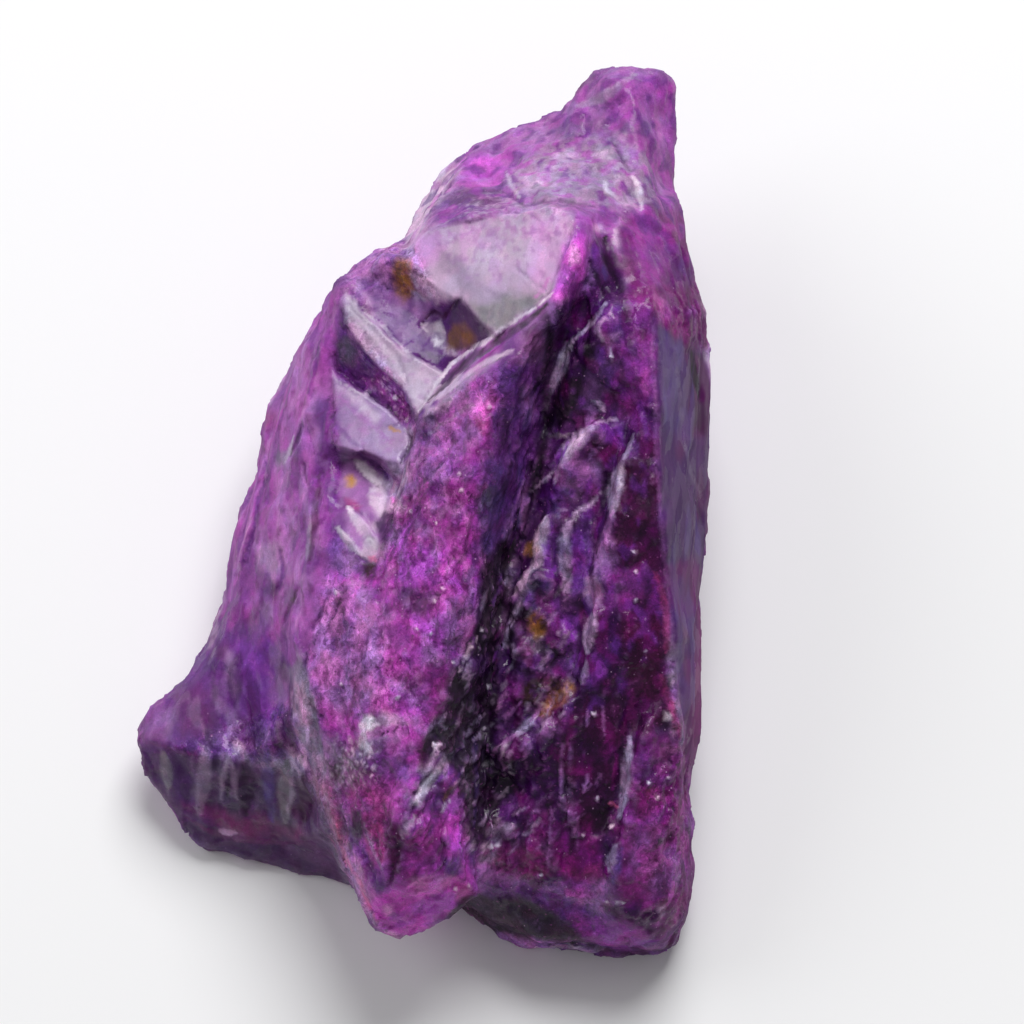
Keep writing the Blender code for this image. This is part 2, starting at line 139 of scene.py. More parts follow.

# Patches of colour, among them painted highlights, reflections and shade: name, colour, strength, softness
# in pixels, outline in the photograph.
PATCHES = [
    ("head", "mauve", 0.9, 8, [(430, 235), (405, 240), (412, 200), (440, 158), (500, 130), (570, 100),
     (600, 72), (632, 62), (660, 70), (678, 88), (678, 150), (690, 260), (640, 230), (560, 206)]),
    ("head glow", "magenta", 0.6, 10, [(600, 78), (660, 78), (672, 110), (650, 122), (600, 112),
     (596, 92)]),
    ("tip edge", "magenta", 0.6, 5, [(652, 78), (676, 86), (678, 140), (668, 150), (664, 110)]),
    ("dusk band", "dusk", 0.45, 9, [(550, 116), (590, 118), (650, 124), (652, 138), (600, 140),
     (552, 136)]),
    ("tip glow low", "hot pink", 0.6, 5, [(655, 125), (672, 130), (670, 145), (656, 140)]),
    ("pink patch", "bright magenta", 0.6, 6, [(462, 160), (480, 153), (500, 155), (508, 168),
     (500, 186), (470, 184), (460, 172)]),
    ("pink patch right", "magenta", 0.6, 6, [(505, 150), (535, 146), (540, 158), (520, 168),
     (508, 164)]),
    ("dark pocket", "dusk", 0.9, 5, [(438, 200), (448, 190), (480, 188), (503, 190), (504, 204),
     (480, 207), (452, 206)]),
    ("pale band", "lilac", 0.35, 8, [(506, 186), (522, 164), (560, 150), (606, 146), (640, 168),
     (650, 198), (640, 212), (600, 202), (560, 208), (524, 214), (506, 204)]),
    ("pale spot one", "pale grey", 0.6, 6, [(522, 178), (548, 170), (556, 184), (545, 196),
     (528, 196)]),
    ("pale spot two", "white", 0.5, 5, [(596, 148), (612, 148), (614, 164), (600, 166)]),
    ("pale spot three", "pale grey", 0.4, 6, [(604, 192), (632, 196), (646, 196), (646, 206),
     (612, 204)]),
    ("pale spot four", "white", 0.45, 5, [(556, 148), (574, 148), (574, 160), (558, 160)]),
    ("pale spot five", "white", 0.6, 4, [(616, 132), (628, 134), (626, 142), (616, 140)]),
    ("ring middle", "magenta", 0.7, 4, [(616, 178), (630, 176), (632, 190), (620, 194)]),
    ("ledge", "pale grey", 0.9, 5, [(440, 160), (462, 156), (454, 178), (432, 212), (418, 238),
     (404, 242), (410, 215), (420, 188)]),
    ("head low left", "violet", 0.75, 5, [(436, 204), (460, 206), (472, 214), (450, 222), (428, 226)]),
    ("under the band", "ash", 0.5, 6, [(466, 206), (500, 208), (522, 214), (500, 218), (470, 220)]),
    ("right shade", "plum", 0.75, 6, [(644, 176), (656, 190), (668, 230), (684, 262), (668, 258),
     (650, 226), (642, 200)]),
    ("right rim", "plum", 0.5, 5, [(660, 150), (676, 150), (684, 210), (694, 262), (684, 258),
     (668, 212)]),
    ("right magenta", "magenta", 0.7, 6, [(636, 140), (656, 146), (664, 172), (650, 176), (638, 160)]),

    # The window: a smooth break whose pale colours are a painted reflection of the lamps.
    ("window", "window", 0.97, 4, [(430, 229), (462, 221), (500, 215), (548, 205), (574, 214),
     (572, 240), (560, 264), (552, 292), (528, 310), (496, 336), (480, 322), (464, 304), (440, 300),
     (420, 286), (411, 262), (414, 240)]),
    ("window pink", "pale pink", 0.9, 8, [(530, 222), (562, 211), (570, 238), (556, 276), (540, 288),
     (524, 262)]),
    ("window left", "orchid", 0.8, 6, [(412, 236), (438, 232), (440, 258), (422, 272), (412, 262)]),
    ("window low", "grey green", 0.97, 6, [(470, 304), (500, 296), (548, 293), (528, 310), (496, 336),
     (480, 322)]),
    ("window streak", "grey lilac", 0.7, 7, [(436, 246), (448, 250), (486, 290), (500, 298), (470, 300),
     (440, 270)]),
    ("window bright", "pale grey", 0.7, 8, [(452, 240), (520, 232), (530, 262), (500, 280),
     (470, 266)]),
    ("window warm", "pale pink", 0.5, 7, [(498, 258), (520, 262), (520, 276), (500, 272)]),

    ("left of the window", "mauve", 0.9, 6, [(344, 262), (372, 248), (398, 242), (412, 256), (408, 296),
     (424, 318), (412, 344), (384, 324), (360, 300), (338, 292)]),
    ("left violet", "violet", 0.6, 6, [(366, 290), (392, 296), (402, 312), (380, 316), (368, 306)]),
    ("ochre edge", "ochre", 0.7, 5, [(398, 256), (410, 262), (414, 288), (404, 302), (394, 288),
     (392, 270)]),
    ("ochre heart", "gold", 0.5, 4, [(400, 276), (408, 278), (406, 292), (399, 288)]),
    ("seam violet", "violet", 0.85, 3, [(400, 312), (432, 306), (462, 302), (470, 330), (446, 350),
     (420, 346), (404, 330)]),
    ("seam lilac", "light mauve", 0.8, 3, [(410, 302), (432, 302), (430, 318), (414, 316)]),
    ("violet riser", "violet", 0.85, 3, [(372, 306), (400, 318), (426, 342), (456, 358), (444, 373),
     (413, 356), (388, 331)]),
    ("violet riser glow", "mauve", 0.5, 3, [(384, 314), (404, 322), (412, 336), (400, 340)]),
    ("violet riser low", "deep violet", 0.7, 3, [(408, 354), (424, 350), (458, 358), (446, 370),
     (430, 366)]),
    ("pale block", "white", 0.85, 2, [(419, 323), (430, 324), (440, 321), (445, 332), (443, 348),
     (435, 346), (429, 333)]),
    ("pale block low", "pale grey", 0.8, 2, [(443, 344), (452, 347), (458, 356), (448, 356)]),
    ("grey facet", "slate", 0.85, 2, [(457, 301), (468, 308), (490, 336), (474, 350), (460, 330),
     (446, 324)]),
    ("ochre block", "rust", 0.55, 3, [(452, 324), (466, 324), (478, 336), (474, 346), (456, 350),
     (446, 340)]),
    ("ochre block heart", "rust", 0.6, 3, [(448, 332), (460, 326), (464, 336), (458, 344), (448, 350)]),
    ("ochre block gold", "ochre", 0.5, 2, [(462, 332), (472, 334), (472, 342), (464, 344)]),

    # The treads: flat breaks whose pale colours are painted reflections of the lamps.
    ("second tread", "tread", 0.95, 2, [(345, 291), (352, 299), (360, 311), (380, 329), (403, 351),
     (413, 356), (444, 373), (440, 381), (429, 395), (420, 411), (414, 411), (403, 389), (383, 371),
     (363, 349), (347, 324), (342, 300)]),
    ("second tread shade", "lilac", 0.6, 2, [(350, 318), (362, 330), (398, 372), (404, 386), (383, 369),
     (364, 346)]),
    ("second tread end", "pale grey", 0.7, 3, [(408, 366), (436, 378), (426, 396), (418, 406),
     (412, 388)]),
    ("first riser", "violet", 0.95, 2, [(333, 341), (347, 328), (363, 352), (383, 374), (402, 391),
     (413, 413), (413, 426), (404, 423), (388, 407), (369, 395), (351, 386), (335, 373)]),
    ("riser green", "steel", 0.8, 5, [(336, 344), (348, 338), (358, 350), (352, 366), (338, 362)]),
    ("riser sparkle", "orchid deep", 0.6, 3, [(366, 378), (388, 378), (404, 394), (412, 412),
     (413, 424), (400, 420), (386, 404), (368, 392)]),
    ("third tread", "dim tread", 0.92, 2, [(333, 375), (341, 381), (354, 389), (369, 397), (385, 409),
     (400, 423), (411, 436), (411, 445), (405, 457), (399, 464), (385, 461), (377, 456), (363, 451),
     (351, 457), (341, 464), (335, 440), (333, 400)]),
    ("third tread grey", "lilac", 0.6, 4, [(372, 428), (400, 430), (409, 440), (402, 458), (386, 458),
     (374, 448)]),
    ("third tread pale", "pale grey", 0.7, 4, [(340, 386), (362, 398), (384, 416), (378, 424),
     (350, 402)]),
    ("second riser", "violet", 0.8, 2, [(357, 451), (369, 457), (385, 467), (390, 476), (388, 484),
     (378, 476), (370, 466), (360, 458)]),
    ("tread end green", "grey lilac", 0.8, 4, [(386, 462), (402, 462), (404, 474), (392, 474)]),
    ("fourth back", "mauve", 0.8, 3, [(342, 464), (352, 462), (372, 490), (378, 508), (364, 512),
     (344, 506), (338, 488)]),
    ("fourth tread", "pale grey", 0.95, 1.5, [(354, 459), (364, 461), (374, 470), (383, 480),
     (387, 490), (388, 502), (386, 516), (381, 521), (376, 512), (369, 504), (368, 494), (372, 484),
     (364, 474), (357, 466)]),
    ("fourth ochre", "gold", 0.75, 2.5, [(345, 476), (352, 474), (357, 482), (353, 488), (346, 487)]),
    ("fourth rose", "rose", 0.7, 2.5, [(342, 498), (352, 500), (361, 506), (358, 511), (346, 508)]),
    ("fifth tread", "light mauve", 0.85, 2, [(336, 512), (347, 508), (360, 514), (372, 529), (380, 542),
     (379, 551), (369, 561), (361, 556), (348, 543), (335, 528)]),
    ("fifth tread end", "pale grey", 0.9, 2, [(368, 536), (377, 538), (380, 548), (376, 554),
     (368, 560), (361, 557), (364, 544)]),
    ("third riser", "deep violet", 0.88, 2, [(385, 511), (401, 514), (408, 519), (394, 530), (385, 546),
     (379, 536), (374, 524), (380, 517)]),
    ("brown pit", "deep violet", 0.9, 4, [(360, 562), (376, 562), (381, 572), (374, 584), (364, 582),
     (359, 570)]),
    ("brown pit heart", "brown", 0.9, 3, [(363, 564), (375, 564), (376, 578), (366, 580)]),
    ("rose chip", "rose pink", 0.8, 2, [(367, 556), (375, 555), (376, 561), (369, 561)]),

    ("ridge", "magenta", 0.9, 6, [(414, 424), (448, 410), (476, 386), (505, 360), (496, 400),
     (494, 440), (484, 500), (480, 570), (474, 599), (475, 618), (469, 637), (458, 656), (450, 672),
     (448, 703), (430, 724), (420, 764), (412, 800), (396, 850), (352, 830), (330, 760), (312, 690),
     (306, 610), (322, 560), (360, 590), (385, 550), (410, 500)]),
    ("ridge mauve clouds", "light mauve", 0.7, 12, [(318, 580), (350, 590), (376, 600), (384, 650),
     (372, 700), (340, 720), (316, 690), (310, 630)]),
    ("ridge top", "mauve", 0.55, 9, [(420, 430), (468, 396), (492, 378), (480, 420), (450, 470),
     (410, 500), (412, 460)]),
    ("ridge glow", "bright magenta", 0.45, 12, [(404, 560), (440, 530), (470, 540), (472, 590),
     (446, 640), (420, 650), (396, 620)]),
    ("ridge deep", "plum", 0.5, 8, [(404, 500), (436, 470), (470, 500), (462, 540), (428, 546)]),
    ("ridge dark", "dark plum", 0.8, 8, [(400, 590), (424, 586), (440, 600), (436, 616), (412, 614),
     (400, 606)]),
    ("ridge heart", "magenta", 0.6, 9, [(384, 640), (424, 640), (432, 676), (400, 684), (384, 670)]),
    ("ridge dark low", "dark plum", 0.7, 6, [(398, 678), (416, 668), (428, 674), (420, 690),
     (402, 694)]),
    ("ridge right", "mauve", 0.7, 6, [(448, 600), (474, 590), (472, 632), (458, 652), (444, 650)]),
    ("ridge low right", "plum", 0.7, 5, [(428, 650), (446, 660), (450, 690), (444, 704), (430, 690)]),
    ("ridge hot", "hot pink", 0.8, 5, [(478, 394), (494, 393), (497, 408), (484, 413), (477, 404)]),
    ("ridge rose", "rose", 0.7, 5, [(476, 418), (490, 414), (489, 434), (479, 436)]),
    ("ridge back", "violet", 0.85, 6, [(500, 342), (516, 330), (524, 360), (520, 400), (512, 450),
     (506, 500), (498, 545), (486, 560), (480, 520), (486, 470), (492, 420), (496, 380)]),
    ("ridge back blue", "blue dusk", 0.7, 6, [(484, 462), (506, 456), (504, 500), (492, 552),
     (480, 550), (478, 500)]),
    ("ridge back steel", "steel", 0.6, 4, [(482, 486), (494, 490), (490, 512), (482, 508)]),
    ("ridge back dark", "black violet", 0.7, 5, [(500, 400), (510, 396), (506, 450), (498, 452)]),
    ("wall wedge", "slate", 0.85, 4, [(413, 414), (446, 412), (430, 438), (413, 446)]),
    ("pale highlight", "white", 0.85, 4, [(360, 722), (374, 716), (384, 722), (382, 734), (370, 742),
     (361, 736)]),
    ("highlight glow", "hot pink", 0.75, 7, [(362, 712), (392, 706), (408, 716), (404, 740), (386, 742),
     (364, 740)]),
    ("highlight heart", "white", 0.55, 4, [(382, 714), (396, 715), (398, 724), (386, 728)]),
    ("right of the highlight", "bright magenta", 0.5, 7, [(396, 700), (416, 706), (414, 744),
     (398, 748)]),
    ("green glitter", "grey lilac", 0.85, 4, [(352, 748), (366, 740), (388, 736), (376, 756),
     (358, 772), (348, 766)]),
    ("grey below", "grey lilac", 0.65, 9, [(328, 742), (352, 740), (352, 790), (336, 792), (326, 770)]),
    ("grey below spots", "brown", 0.6, 4, [(331, 764), (342, 764), (341, 781), (333, 780)]),
    ("grey violet low", "dusk", 0.6, 9, [(352, 762), (396, 744), (400, 790), (360, 796)]),
    ("low ridge rose", "rose", 0.45, 9, [(344, 786), (380, 784), (396, 810), (384, 836), (356, 824)]),
    ("low ridge glow", "bright magenta", 0.6, 6, [(386, 774), (402, 776), (404, 812), (394, 826),
     (388, 800)]),
    ("low ridge violet", "blue violet", 0.5, 7, [(398, 748), (414, 742), (412, 790), (402, 796)]),

    ("block side", "grey lilac", 0.8, 5, [(286, 664), (300, 660), (316, 700), (322, 750), (330, 800),
     (346, 850), (362, 896), (378, 930), (366, 916), (340, 880), (322, 840), (312, 790), (302, 740),
     (290, 700)]),
    ("block pink", "rose", 0.5, 6, [(318, 780), (334, 784), (346, 846), (372, 900), (364, 900),
     (332, 850)]),
    ("block edge low", "light mauve", 0.75, 4, [(336, 846), (346, 846), (370, 896), (380, 926),
     (374, 924), (356, 894)]),

    ("spur", "magenta", 0.9, 5, [(352, 826), (400, 836), (430, 790), (456, 766), (466, 800), (470, 860),
     (480, 892), (440, 916), (406, 938), (378, 928), (362, 880)]),
    ("spur left", "violet", 0.85, 4, [(350, 838), (362, 838), (374, 862), (386, 886), (380, 902),
     (366, 876)]),
    ("spur hollow", "black violet", 0.9, 4, [(350, 808), (361, 812), (366, 834), (358, 842),
     (350, 832)]),
    ("spur rough", "rose", 0.6, 5, [(364, 814), (384, 822), (396, 860), (376, 866), (366, 840)]),
    ("spur gully", "wine", 0.9, 4, [(384, 816), (396, 826), (404, 846), (400, 872), (392, 884),
     (388, 856)]),
    ("spur body", "plum magenta", 0.7, 5, [(404, 838), (416, 812), (440, 812), (446, 840), (460, 858),
     (456, 878), (420, 878), (402, 884)]),
    ("spur body glow", "magenta", 0.6, 5, [(418, 814), (438, 814), (440, 836), (420, 840)]),
    ("spur body low glow", "magenta", 0.5, 5, [(404, 864), (440, 862), (444, 874), (410, 878)]),
    ("spur body blue", "blue violet", 0.6, 4, [(442, 856), (462, 856), (464, 874), (446, 876)]),
    ("spur flash", "bright violet", 0.9, 3, [(440, 770), (448, 763), (456, 765), (453, 774),
     (436, 784)]),
    ("spur step", "deep violet", 0.85, 4, [(428, 784), (448, 780), (450, 800), (440, 816), (424, 804)]),
    ("spur lens", "bright magenta", 0.95, 2, [(450, 809), (458, 816), (462, 836), (457, 853),
     (448, 846), (442, 836)]),
    ("spur end", "bright magenta", 0.9, 4, [(372, 902), (386, 890), (416, 878), (442, 875), (462, 881),
     (478, 893), (468, 902), (440, 916), (420, 931), (404, 937), (384, 932), (376, 924)]),
    ("spur end bright", "hot pink", 0.8, 4, [(412, 882), (424, 876), (450, 875), (450, 890), (424, 896),
     (410, 892)]),
    ("spur end rose", "rose", 0.7, 3, [(455, 884), (468, 884), (478, 893), (466, 902), (454, 903)]),
    ("spur end foot", "magenta", 0.5, 5, [(380, 908), (420, 912), (424, 928), (404, 936), (384, 930)]),
    ("spur end pale", "pale pink", 0.7, 3, [(384, 906), (393, 905), (394, 914), (386, 916)]),
    ("spur end dark", "magenta", 0.3, 5, [(410, 900), (450, 900), (444, 914), (412, 918)]),

    ("groove", "near black", 0.94, 5, [(524, 330), (548, 312), (556, 330), (552, 360), (547, 386),
     (551, 430), (546, 470), (526, 522), (512, 566), (506, 610), (500, 640), (502, 700), (498, 744),
     (520, 760), (520, 796), (496, 826), (480, 852), (466, 810), (456, 776), (440, 752), (424, 770),
     (416, 750), (444, 712), (450, 672), (469, 640), (478, 618), (481, 570), (496, 548), (508, 500),
     (514, 450), (518, 400), (516, 350)]),
    ("groove wall high", "mauve", 0.6, 5, [(516, 340), (532, 322), (546, 322), (544, 360), (536, 384),
     (518, 392)]),
    ("groove wall dark", "wine", 0.5, 5, [(524, 330), (544, 318), (540, 336), (526, 346)]),
    ("groove wall", "violet", 0.9, 5, [(512, 366), (540, 364), (542, 392), (540, 430), (534, 460),
     (512, 466), (510, 420)]),
    ("groove wall glow", "mauve", 0.6, 4, [(520, 384), (534, 386), (534, 420), (522, 424)]),
    ("groove wall low", "violet", 0.8, 5, [(508, 466), (526, 462), (528, 490), (518, 530), (502, 540),
     (500, 510)]),
    ("groove black", "near black", 0.9, 4, [(526, 488), (550, 484), (546, 508), (530, 520), (520, 556),
     (502, 562), (508, 530)]),
    ("groove low steel", "charcoal", 0.7, 5, [(458, 706), (476, 700), (480, 760), (480, 840),
     (468, 836), (458, 780)]),
    ("groove low violet", "deep violet", 0.85, 4, [(468, 658), (488, 656), (490, 672), (472, 676)]),
    ("groove foot violet", "violet", 0.8, 4, [(500, 798), (516, 796), (520, 818), (506, 826),
     (498, 818)]),

    ("plateau", "deep violet", 0.94, 5, [(560, 306), (600, 286), (620, 290), (652, 300), (656, 420),
     (662, 520), (668, 620), (672, 740), (640, 760), (610, 880), (540, 884), (500, 868), (494, 850),
     (498, 830), (520, 796), (520, 760), (498, 744), (502, 700), (502, 640), (506, 610), (512, 566),
     (526, 522), (546, 470), (551, 430), (547, 386), (552, 360)]),
    ("dark head of the groove", "deep violet", 0.8, 5, [(588, 240), (606, 236), (620, 262), (628, 290),
     (612, 300), (596, 284), (588, 262)]),
    ("violet by the pit", "bright violet", 0.4, 5, [(590, 250), (600, 246), (602, 266), (592, 266)]),
    ("magenta block", "bright magenta", 0.8, 5, [(562, 250), (576, 232), (590, 234), (590, 262),
     (582, 286), (566, 298), (552, 300)]),
    ("magenta block top", "magenta", 0.75, 5, [(578, 218), (606, 210), (614, 226), (600, 234),
     (580, 234)]),
    ("magenta block pale", "pale pink", 0.7, 3, [(569, 244), (578, 246), (580, 262), (570, 266)]),
    ("pit spark", "pale pink", 0.8, 3, [(594, 224), (602, 224), (602, 232), (594, 231)]),
    ("shoulder left", "violet", 0.9, 7, [(622, 226), (650, 230), (660, 250), (640, 262), (622, 252)]),
    ("shoulder violet", "bright violet", 0.35, 6, [(624, 216), (644, 214), (640, 232), (626, 234)]),
    ("crest magenta", "plum magenta", 0.7, 9, [(628, 268), (652, 262), (660, 300), (650, 330),
     (632, 330), (626, 296)]),
    ("crest violet", "violet", 0.8, 7, [(622, 320), (650, 316), (652, 352), (640, 400), (624, 400)]),
    ("crest hot", "hot pink", 0.65, 4, [(642, 366), (650, 370), (648, 392), (642, 394)]),
    ("upper step face", "violet", 0.8, 4, [(600, 304), (622, 306), (622, 330), (608, 340), (596, 326)]),
    ("upper step pale", "light mauve", 0.85, 3, [(595, 326), (607, 336), (620, 331), (613, 347),
     (610, 352), (603, 345)]),
    ("step bay", "near black", 0.92, 3, [(579, 343), (590, 337), (592, 352), (586, 374), (579, 399),
     (573, 415), (561, 427), (547, 431), (543, 421), (551, 406), (557, 384), (573, 359)]),
    ("step bay violet", "deep violet", 0.85, 3, [(568, 356), (584, 354), (582, 377), (568, 380)]),
    ("step bay green", "charcoal", 0.8, 3, [(556, 402), (574, 398), (574, 414), (558, 420)]),
    ("tread of the step", "dusk", 0.85, 4, [(588, 366), (596, 356), (620, 360), (622, 388), (596, 398),
     (587, 396)]),
    ("tread glow", "violet", 0.7, 3, [(602, 366), (622, 364), (620, 386), (604, 388)]),
    ("column", "magenta", 0.55, 5, [(622, 340), (650, 330), (654, 380), (640, 430), (624, 420)]),
    ("column glow", "magenta", 0.6, 5, [(630, 300), (650, 296), (652, 340), (634, 340)]),
    ("purple panel", "bright violet", 0.55, 4, [(598, 424), (624, 422), (622, 448), (604, 446)]),
    ("plum panel", "wine", 0.85, 4, [(589, 440), (620, 446), (616, 476), (600, 462), (584, 456)]),
    ("mauve panel", "mauve", 0.8, 4, [(560, 460), (600, 462), (606, 488), (584, 502), (562, 500),
     (556, 476)]),
    ("mauve panel low", "violet", 0.6, 4, [(576, 478), (602, 476), (600, 496), (580, 502)]),
    ("lilac panel", "blue violet", 0.7, 4, [(555, 492), (570, 490), (568, 514), (556, 518)]),
    ("blue panel", "bright violet", 0.6, 4, [(545, 548), (556, 530), (564, 534), (562, 592),
     (548, 596)]),
    ("blue panel right", "bright violet", 0.5, 4, [(570, 530), (590, 528), (590, 590), (572, 596)]),
    ("light panel", "mauve", 0.8, 4, [(594, 540), (614, 534), (616, 560), (606, 582), (592, 580)]),
    ("panel foot", "pale pink", 0.7, 3, [(585, 578), (600, 577), (602, 606), (590, 608), (584, 594)]),
    ("magenta panel", "magenta", 0.55, 7, [(604, 566), (642, 568), (644, 604), (608, 610)]),
    ("magenta field", "wine", 0.8, 6, [(620, 466), (640, 440), (656, 440), (660, 540), (662, 572),
     (620, 566), (612, 540), (618, 500)]),
    ("blade field", "blue dusk", 0.8, 5, [(517, 582), (556, 580), (558, 608), (530, 612), (514, 604)]),
    ("grey hollow", "charcoal", 0.85, 5, [(508, 606), (530, 604), (536, 628), (524, 640), (506, 640)]),
    ("grey facet low", "steel", 0.8, 4, [(522, 636), (542, 632), (544, 650), (530, 662), (522, 654)]),
    ("green black", "near black", 0.8, 4, [(542, 640), (558, 640), (560, 664), (544, 668)]),
    ("low violet", "violet", 0.85, 5, [(548, 610), (580, 606), (582, 640), (576, 654), (560, 652),
     (550, 634)]),
    ("low violet glow", "bright violet", 0.6, 4, [(560, 616), (578, 614), (576, 640), (564, 644)]),
    ("low violet foot", "violet", 0.7, 5, [(556, 660), (580, 656), (582, 676), (568, 680)]),
    ("upper ochre", "gold", 0.8, 4, [(528, 543), (537, 541), (539, 550), (533, 557), (526, 554)]),
    ("middle ochre", "ochre", 0.8, 5, [(531, 616), (540, 611), (546, 618), (545, 634), (538, 638),
     (530, 628)]),
    ("middle ochre dark", "brown", 0.7, 2, [(540, 618), (546, 620), (546, 632), (541, 630)]),
    ("brown hollow", "brown", 0.9, 4, [(522, 684), (540, 680), (562, 678), (560, 692), (540, 706),
     (522, 704)]),
    ("low ochre", "ochre", 0.75, 5, [(538, 712), (548, 700), (562, 692), (568, 680), (573, 686),
     (570, 698), (554, 706), (544, 716)]),
    ("low ochre bright", "gold", 0.8, 2, [(563, 690), (570, 688), (569, 695), (562, 696)]),
    ("hollow pink", "magenta", 0.6, 4, [(508, 676), (522, 680), (522, 696), (508, 700)]),
    ("plateau plum", "wine", 0.8, 8, [(620, 604), (660, 600), (668, 720), (646, 740), (622, 728),
     (616, 660)]),
    ("plum dark", "wine", 0.8, 7, [(632, 628), (662, 624), (664, 662), (650, 678), (634, 668)]),
    ("violet low", "deep violet", 0.8, 5, [(590, 618), (618, 616), (622, 664), (606, 684), (590, 680)]),
    ("violet low glow", "bright violet", 0.4, 4, [(592, 660), (608, 660), (606, 678), (594, 678)]),
    ("mauve band", "mauve", 0.7, 4, [(541, 722), (560, 716), (562, 732), (544, 742), (526, 744)]),
    ("low dark", "dark plum", 0.9, 8, [(566, 700), (618, 684), (632, 730), (626, 776), (618, 812),
     (600, 840), (566, 840), (562, 760)]),
    ("low black", "near black", 0.7, 4, [(564, 738), (574, 740), (572, 790), (562, 792)]),
    ("low black right", "near black", 0.8, 4, [(598, 796), (612, 800), (608, 830), (600, 830)]),
    ("low speckled", "deep violet", 0.8, 7, [(500, 744), (558, 730), (560, 796), (536, 806), (520, 796),
     (520, 760)]),
    ("low violet field", "plum", 0.6, 6, [(520, 800), (550, 796), (550, 840), (522, 844)]),
    ("low pale", "lilac", 0.9, 4, [(485, 830), (500, 824), (516, 824), (512, 834), (496, 840),
     (487, 838)]),
    ("low pink", "rose", 0.45, 7, [(490, 842), (536, 846), (550, 874), (510, 884), (490, 872)]),
    ("low glitter", "pale grey", 0.8, 3, [(481, 846), (489, 841), (491, 849), (484, 854)]),
    ("low grey", "grey lilac", 0.7, 3, [(478, 856), (494, 853), (496, 861), (480, 864)]),
    ("low plum", "plum magenta", 0.8, 7, [(554, 838), (600, 838), (602, 874), (556, 878)]),
    ("low rose", "rose", 0.35, 6, [(566, 868), (600, 868), (600, 882), (566, 880)]),
    ("lump", "plum magenta", 0.8, 10, [(628, 740), (680, 736), (694, 800), (698, 850), (692, 910),
     (668, 944), (610, 940), (614, 880), (618, 820)]),
    ("lump violet", "violet", 0.55, 8, [(632, 750), (680, 752), (682, 780), (634, 782)]),
    ("lump mauve", "mauve", 0.35, 10, [(634, 828), (684, 830), (688, 890), (650, 896), (632, 866)]),
    ("lump dark", "deep violet", 0.9, 6, [(616, 908), (640, 904), (660, 908), (662, 930), (644, 938),
     (622, 924)]),
    ("lump green", "black violet", 0.8, 4, [(600, 904), (618, 906), (622, 926), (604, 916)]),
    ("lump blot", "plum", 0.7, 5, [(640, 782), (658, 780), (660, 800), (644, 802)]),
    ("lump blot rose", "rose", 0.6, 4, [(644, 790), (656, 788), (656, 798), (646, 800)]),
    ("lump spark", "lilac", 0.9, 2, [(657, 907), (665, 906), (664, 916), (660, 920)]),
    ("lump rim", "mauve", 0.5, 5, [(684, 812), (698, 812), (698, 832), (686, 832)]),

    ("shoulder wash", "plum magenta", 0.8, 7, [(620, 220), (650, 214), (688, 216), (706, 330),
     (660, 330), (624, 270)]),
    ("shoulder wash glow", "magenta", 0.6, 7, [(628, 226), (654, 220), (668, 262), (656, 290),
     (634, 262)]),
    ("shoulder wash dark", "plum", 0.7, 6, [(668, 226), (684, 236), (698, 290), (706, 340), (690, 320),
     (674, 270)]),
    ("right side", "side slate", 0.92, 5, [(654, 318), (676, 336), (700, 344), (714, 400), (714, 470),
     (708, 560), (706, 660), (702, 740), (694, 776), (684, 742), (672, 640), (664, 540), (657, 430)]),
    ("right side lilac", "blue violet", 0.4, 8, [(660, 330), (680, 346), (684, 420), (668, 440),
     (660, 400)]),
    ("right side plum", "plum", 0.75, 5, [(690, 396), (713, 396), (712, 436), (692, 436)]),
    ("right side rim", "rose", 0.4, 5, [(698, 600), (706, 600), (704, 700), (696, 760), (690, 764),
     (694, 690)]),
    ("right side mauve", "plum", 0.5, 8, [(678, 560), (700, 560), (696, 640), (680, 620)]),
    ("side plum", "dark plum", 0.6, 3, [(688, 350), (704, 356), (710, 400), (706, 436), (694, 424),
     (690, 384)]),
    ("side rose", "plum magenta", 0.55, 5, [(664, 566), (690, 560), (704, 572), (702, 612), (684, 618),
     (668, 604)]),
    ("side low plum", "plum magenta", 0.45, 5, [(684, 660), (700, 650), (698, 780), (690, 800),
     (684, 740)]),
    ("side low dusk", "dark plum", 0.45, 5, [(670, 700), (680, 690), (684, 770), (676, 790)]),
    ("shoulder", "plum magenta", 0.8, 6, [(656, 284), (692, 284), (708, 326), (706, 352), (684, 346),
     (662, 322)]),
    ("shoulder glow", "hot pink", 0.4, 5, [(655, 300), (668, 302), (672, 322), (658, 322)]),
    ("shoulder plum", "plum", 0.85, 6, [(676, 268), (696, 286), (710, 344), (690, 350), (676, 300)]),
    ("shoulder top", "violet", 0.4, 8, [(650, 240), (684, 250), (696, 286), (660, 286), (648, 262)]),

    ("flank", "orchid deep", 0.9, 7, [(330, 285), (342, 300), (334, 340), (332, 400), (338, 450),
     (336, 520), (330, 560), (314, 620), (300, 660), (250, 640), (222, 610), (240, 500), (262, 420),
     (290, 350)]),
    ("flank magenta", "magenta", 0.7, 6, [(318, 306), (332, 300), (328, 350), (318, 396), (306, 400),
     (314, 350)]),
    ("flank notch shade", "violet", 0.65, 8, [(314, 396), (336, 392), (343, 470), (338, 560),
     (316, 556), (312, 480)]),
    ("flank edge pale", "pale grey", 0.85, 4, [(312, 308), (300, 320), (284, 350), (272, 380),
     (264, 404), (270, 404), (286, 368), (306, 330)]),
    ("flank violet", "violet", 0.75, 6, [(318, 400), (332, 396), (338, 430), (330, 446), (318, 436)]),
    ("flank dark blue", "blue violet", 0.6, 7, [(318, 500), (336, 500), (336, 548), (322, 556),
     (316, 530)]),
    ("flank violet low", "violet", 0.6, 5, [(330, 460), (342, 456), (340, 500), (328, 506)]),
    ("flank grey", "grey lilac", 0.8, 4, [(278, 452), (290, 450), (286, 468), (276, 462)]),
    ("flank rose", "rose", 0.55, 5, [(262, 412), (276, 410), (276, 428), (264, 428)]),
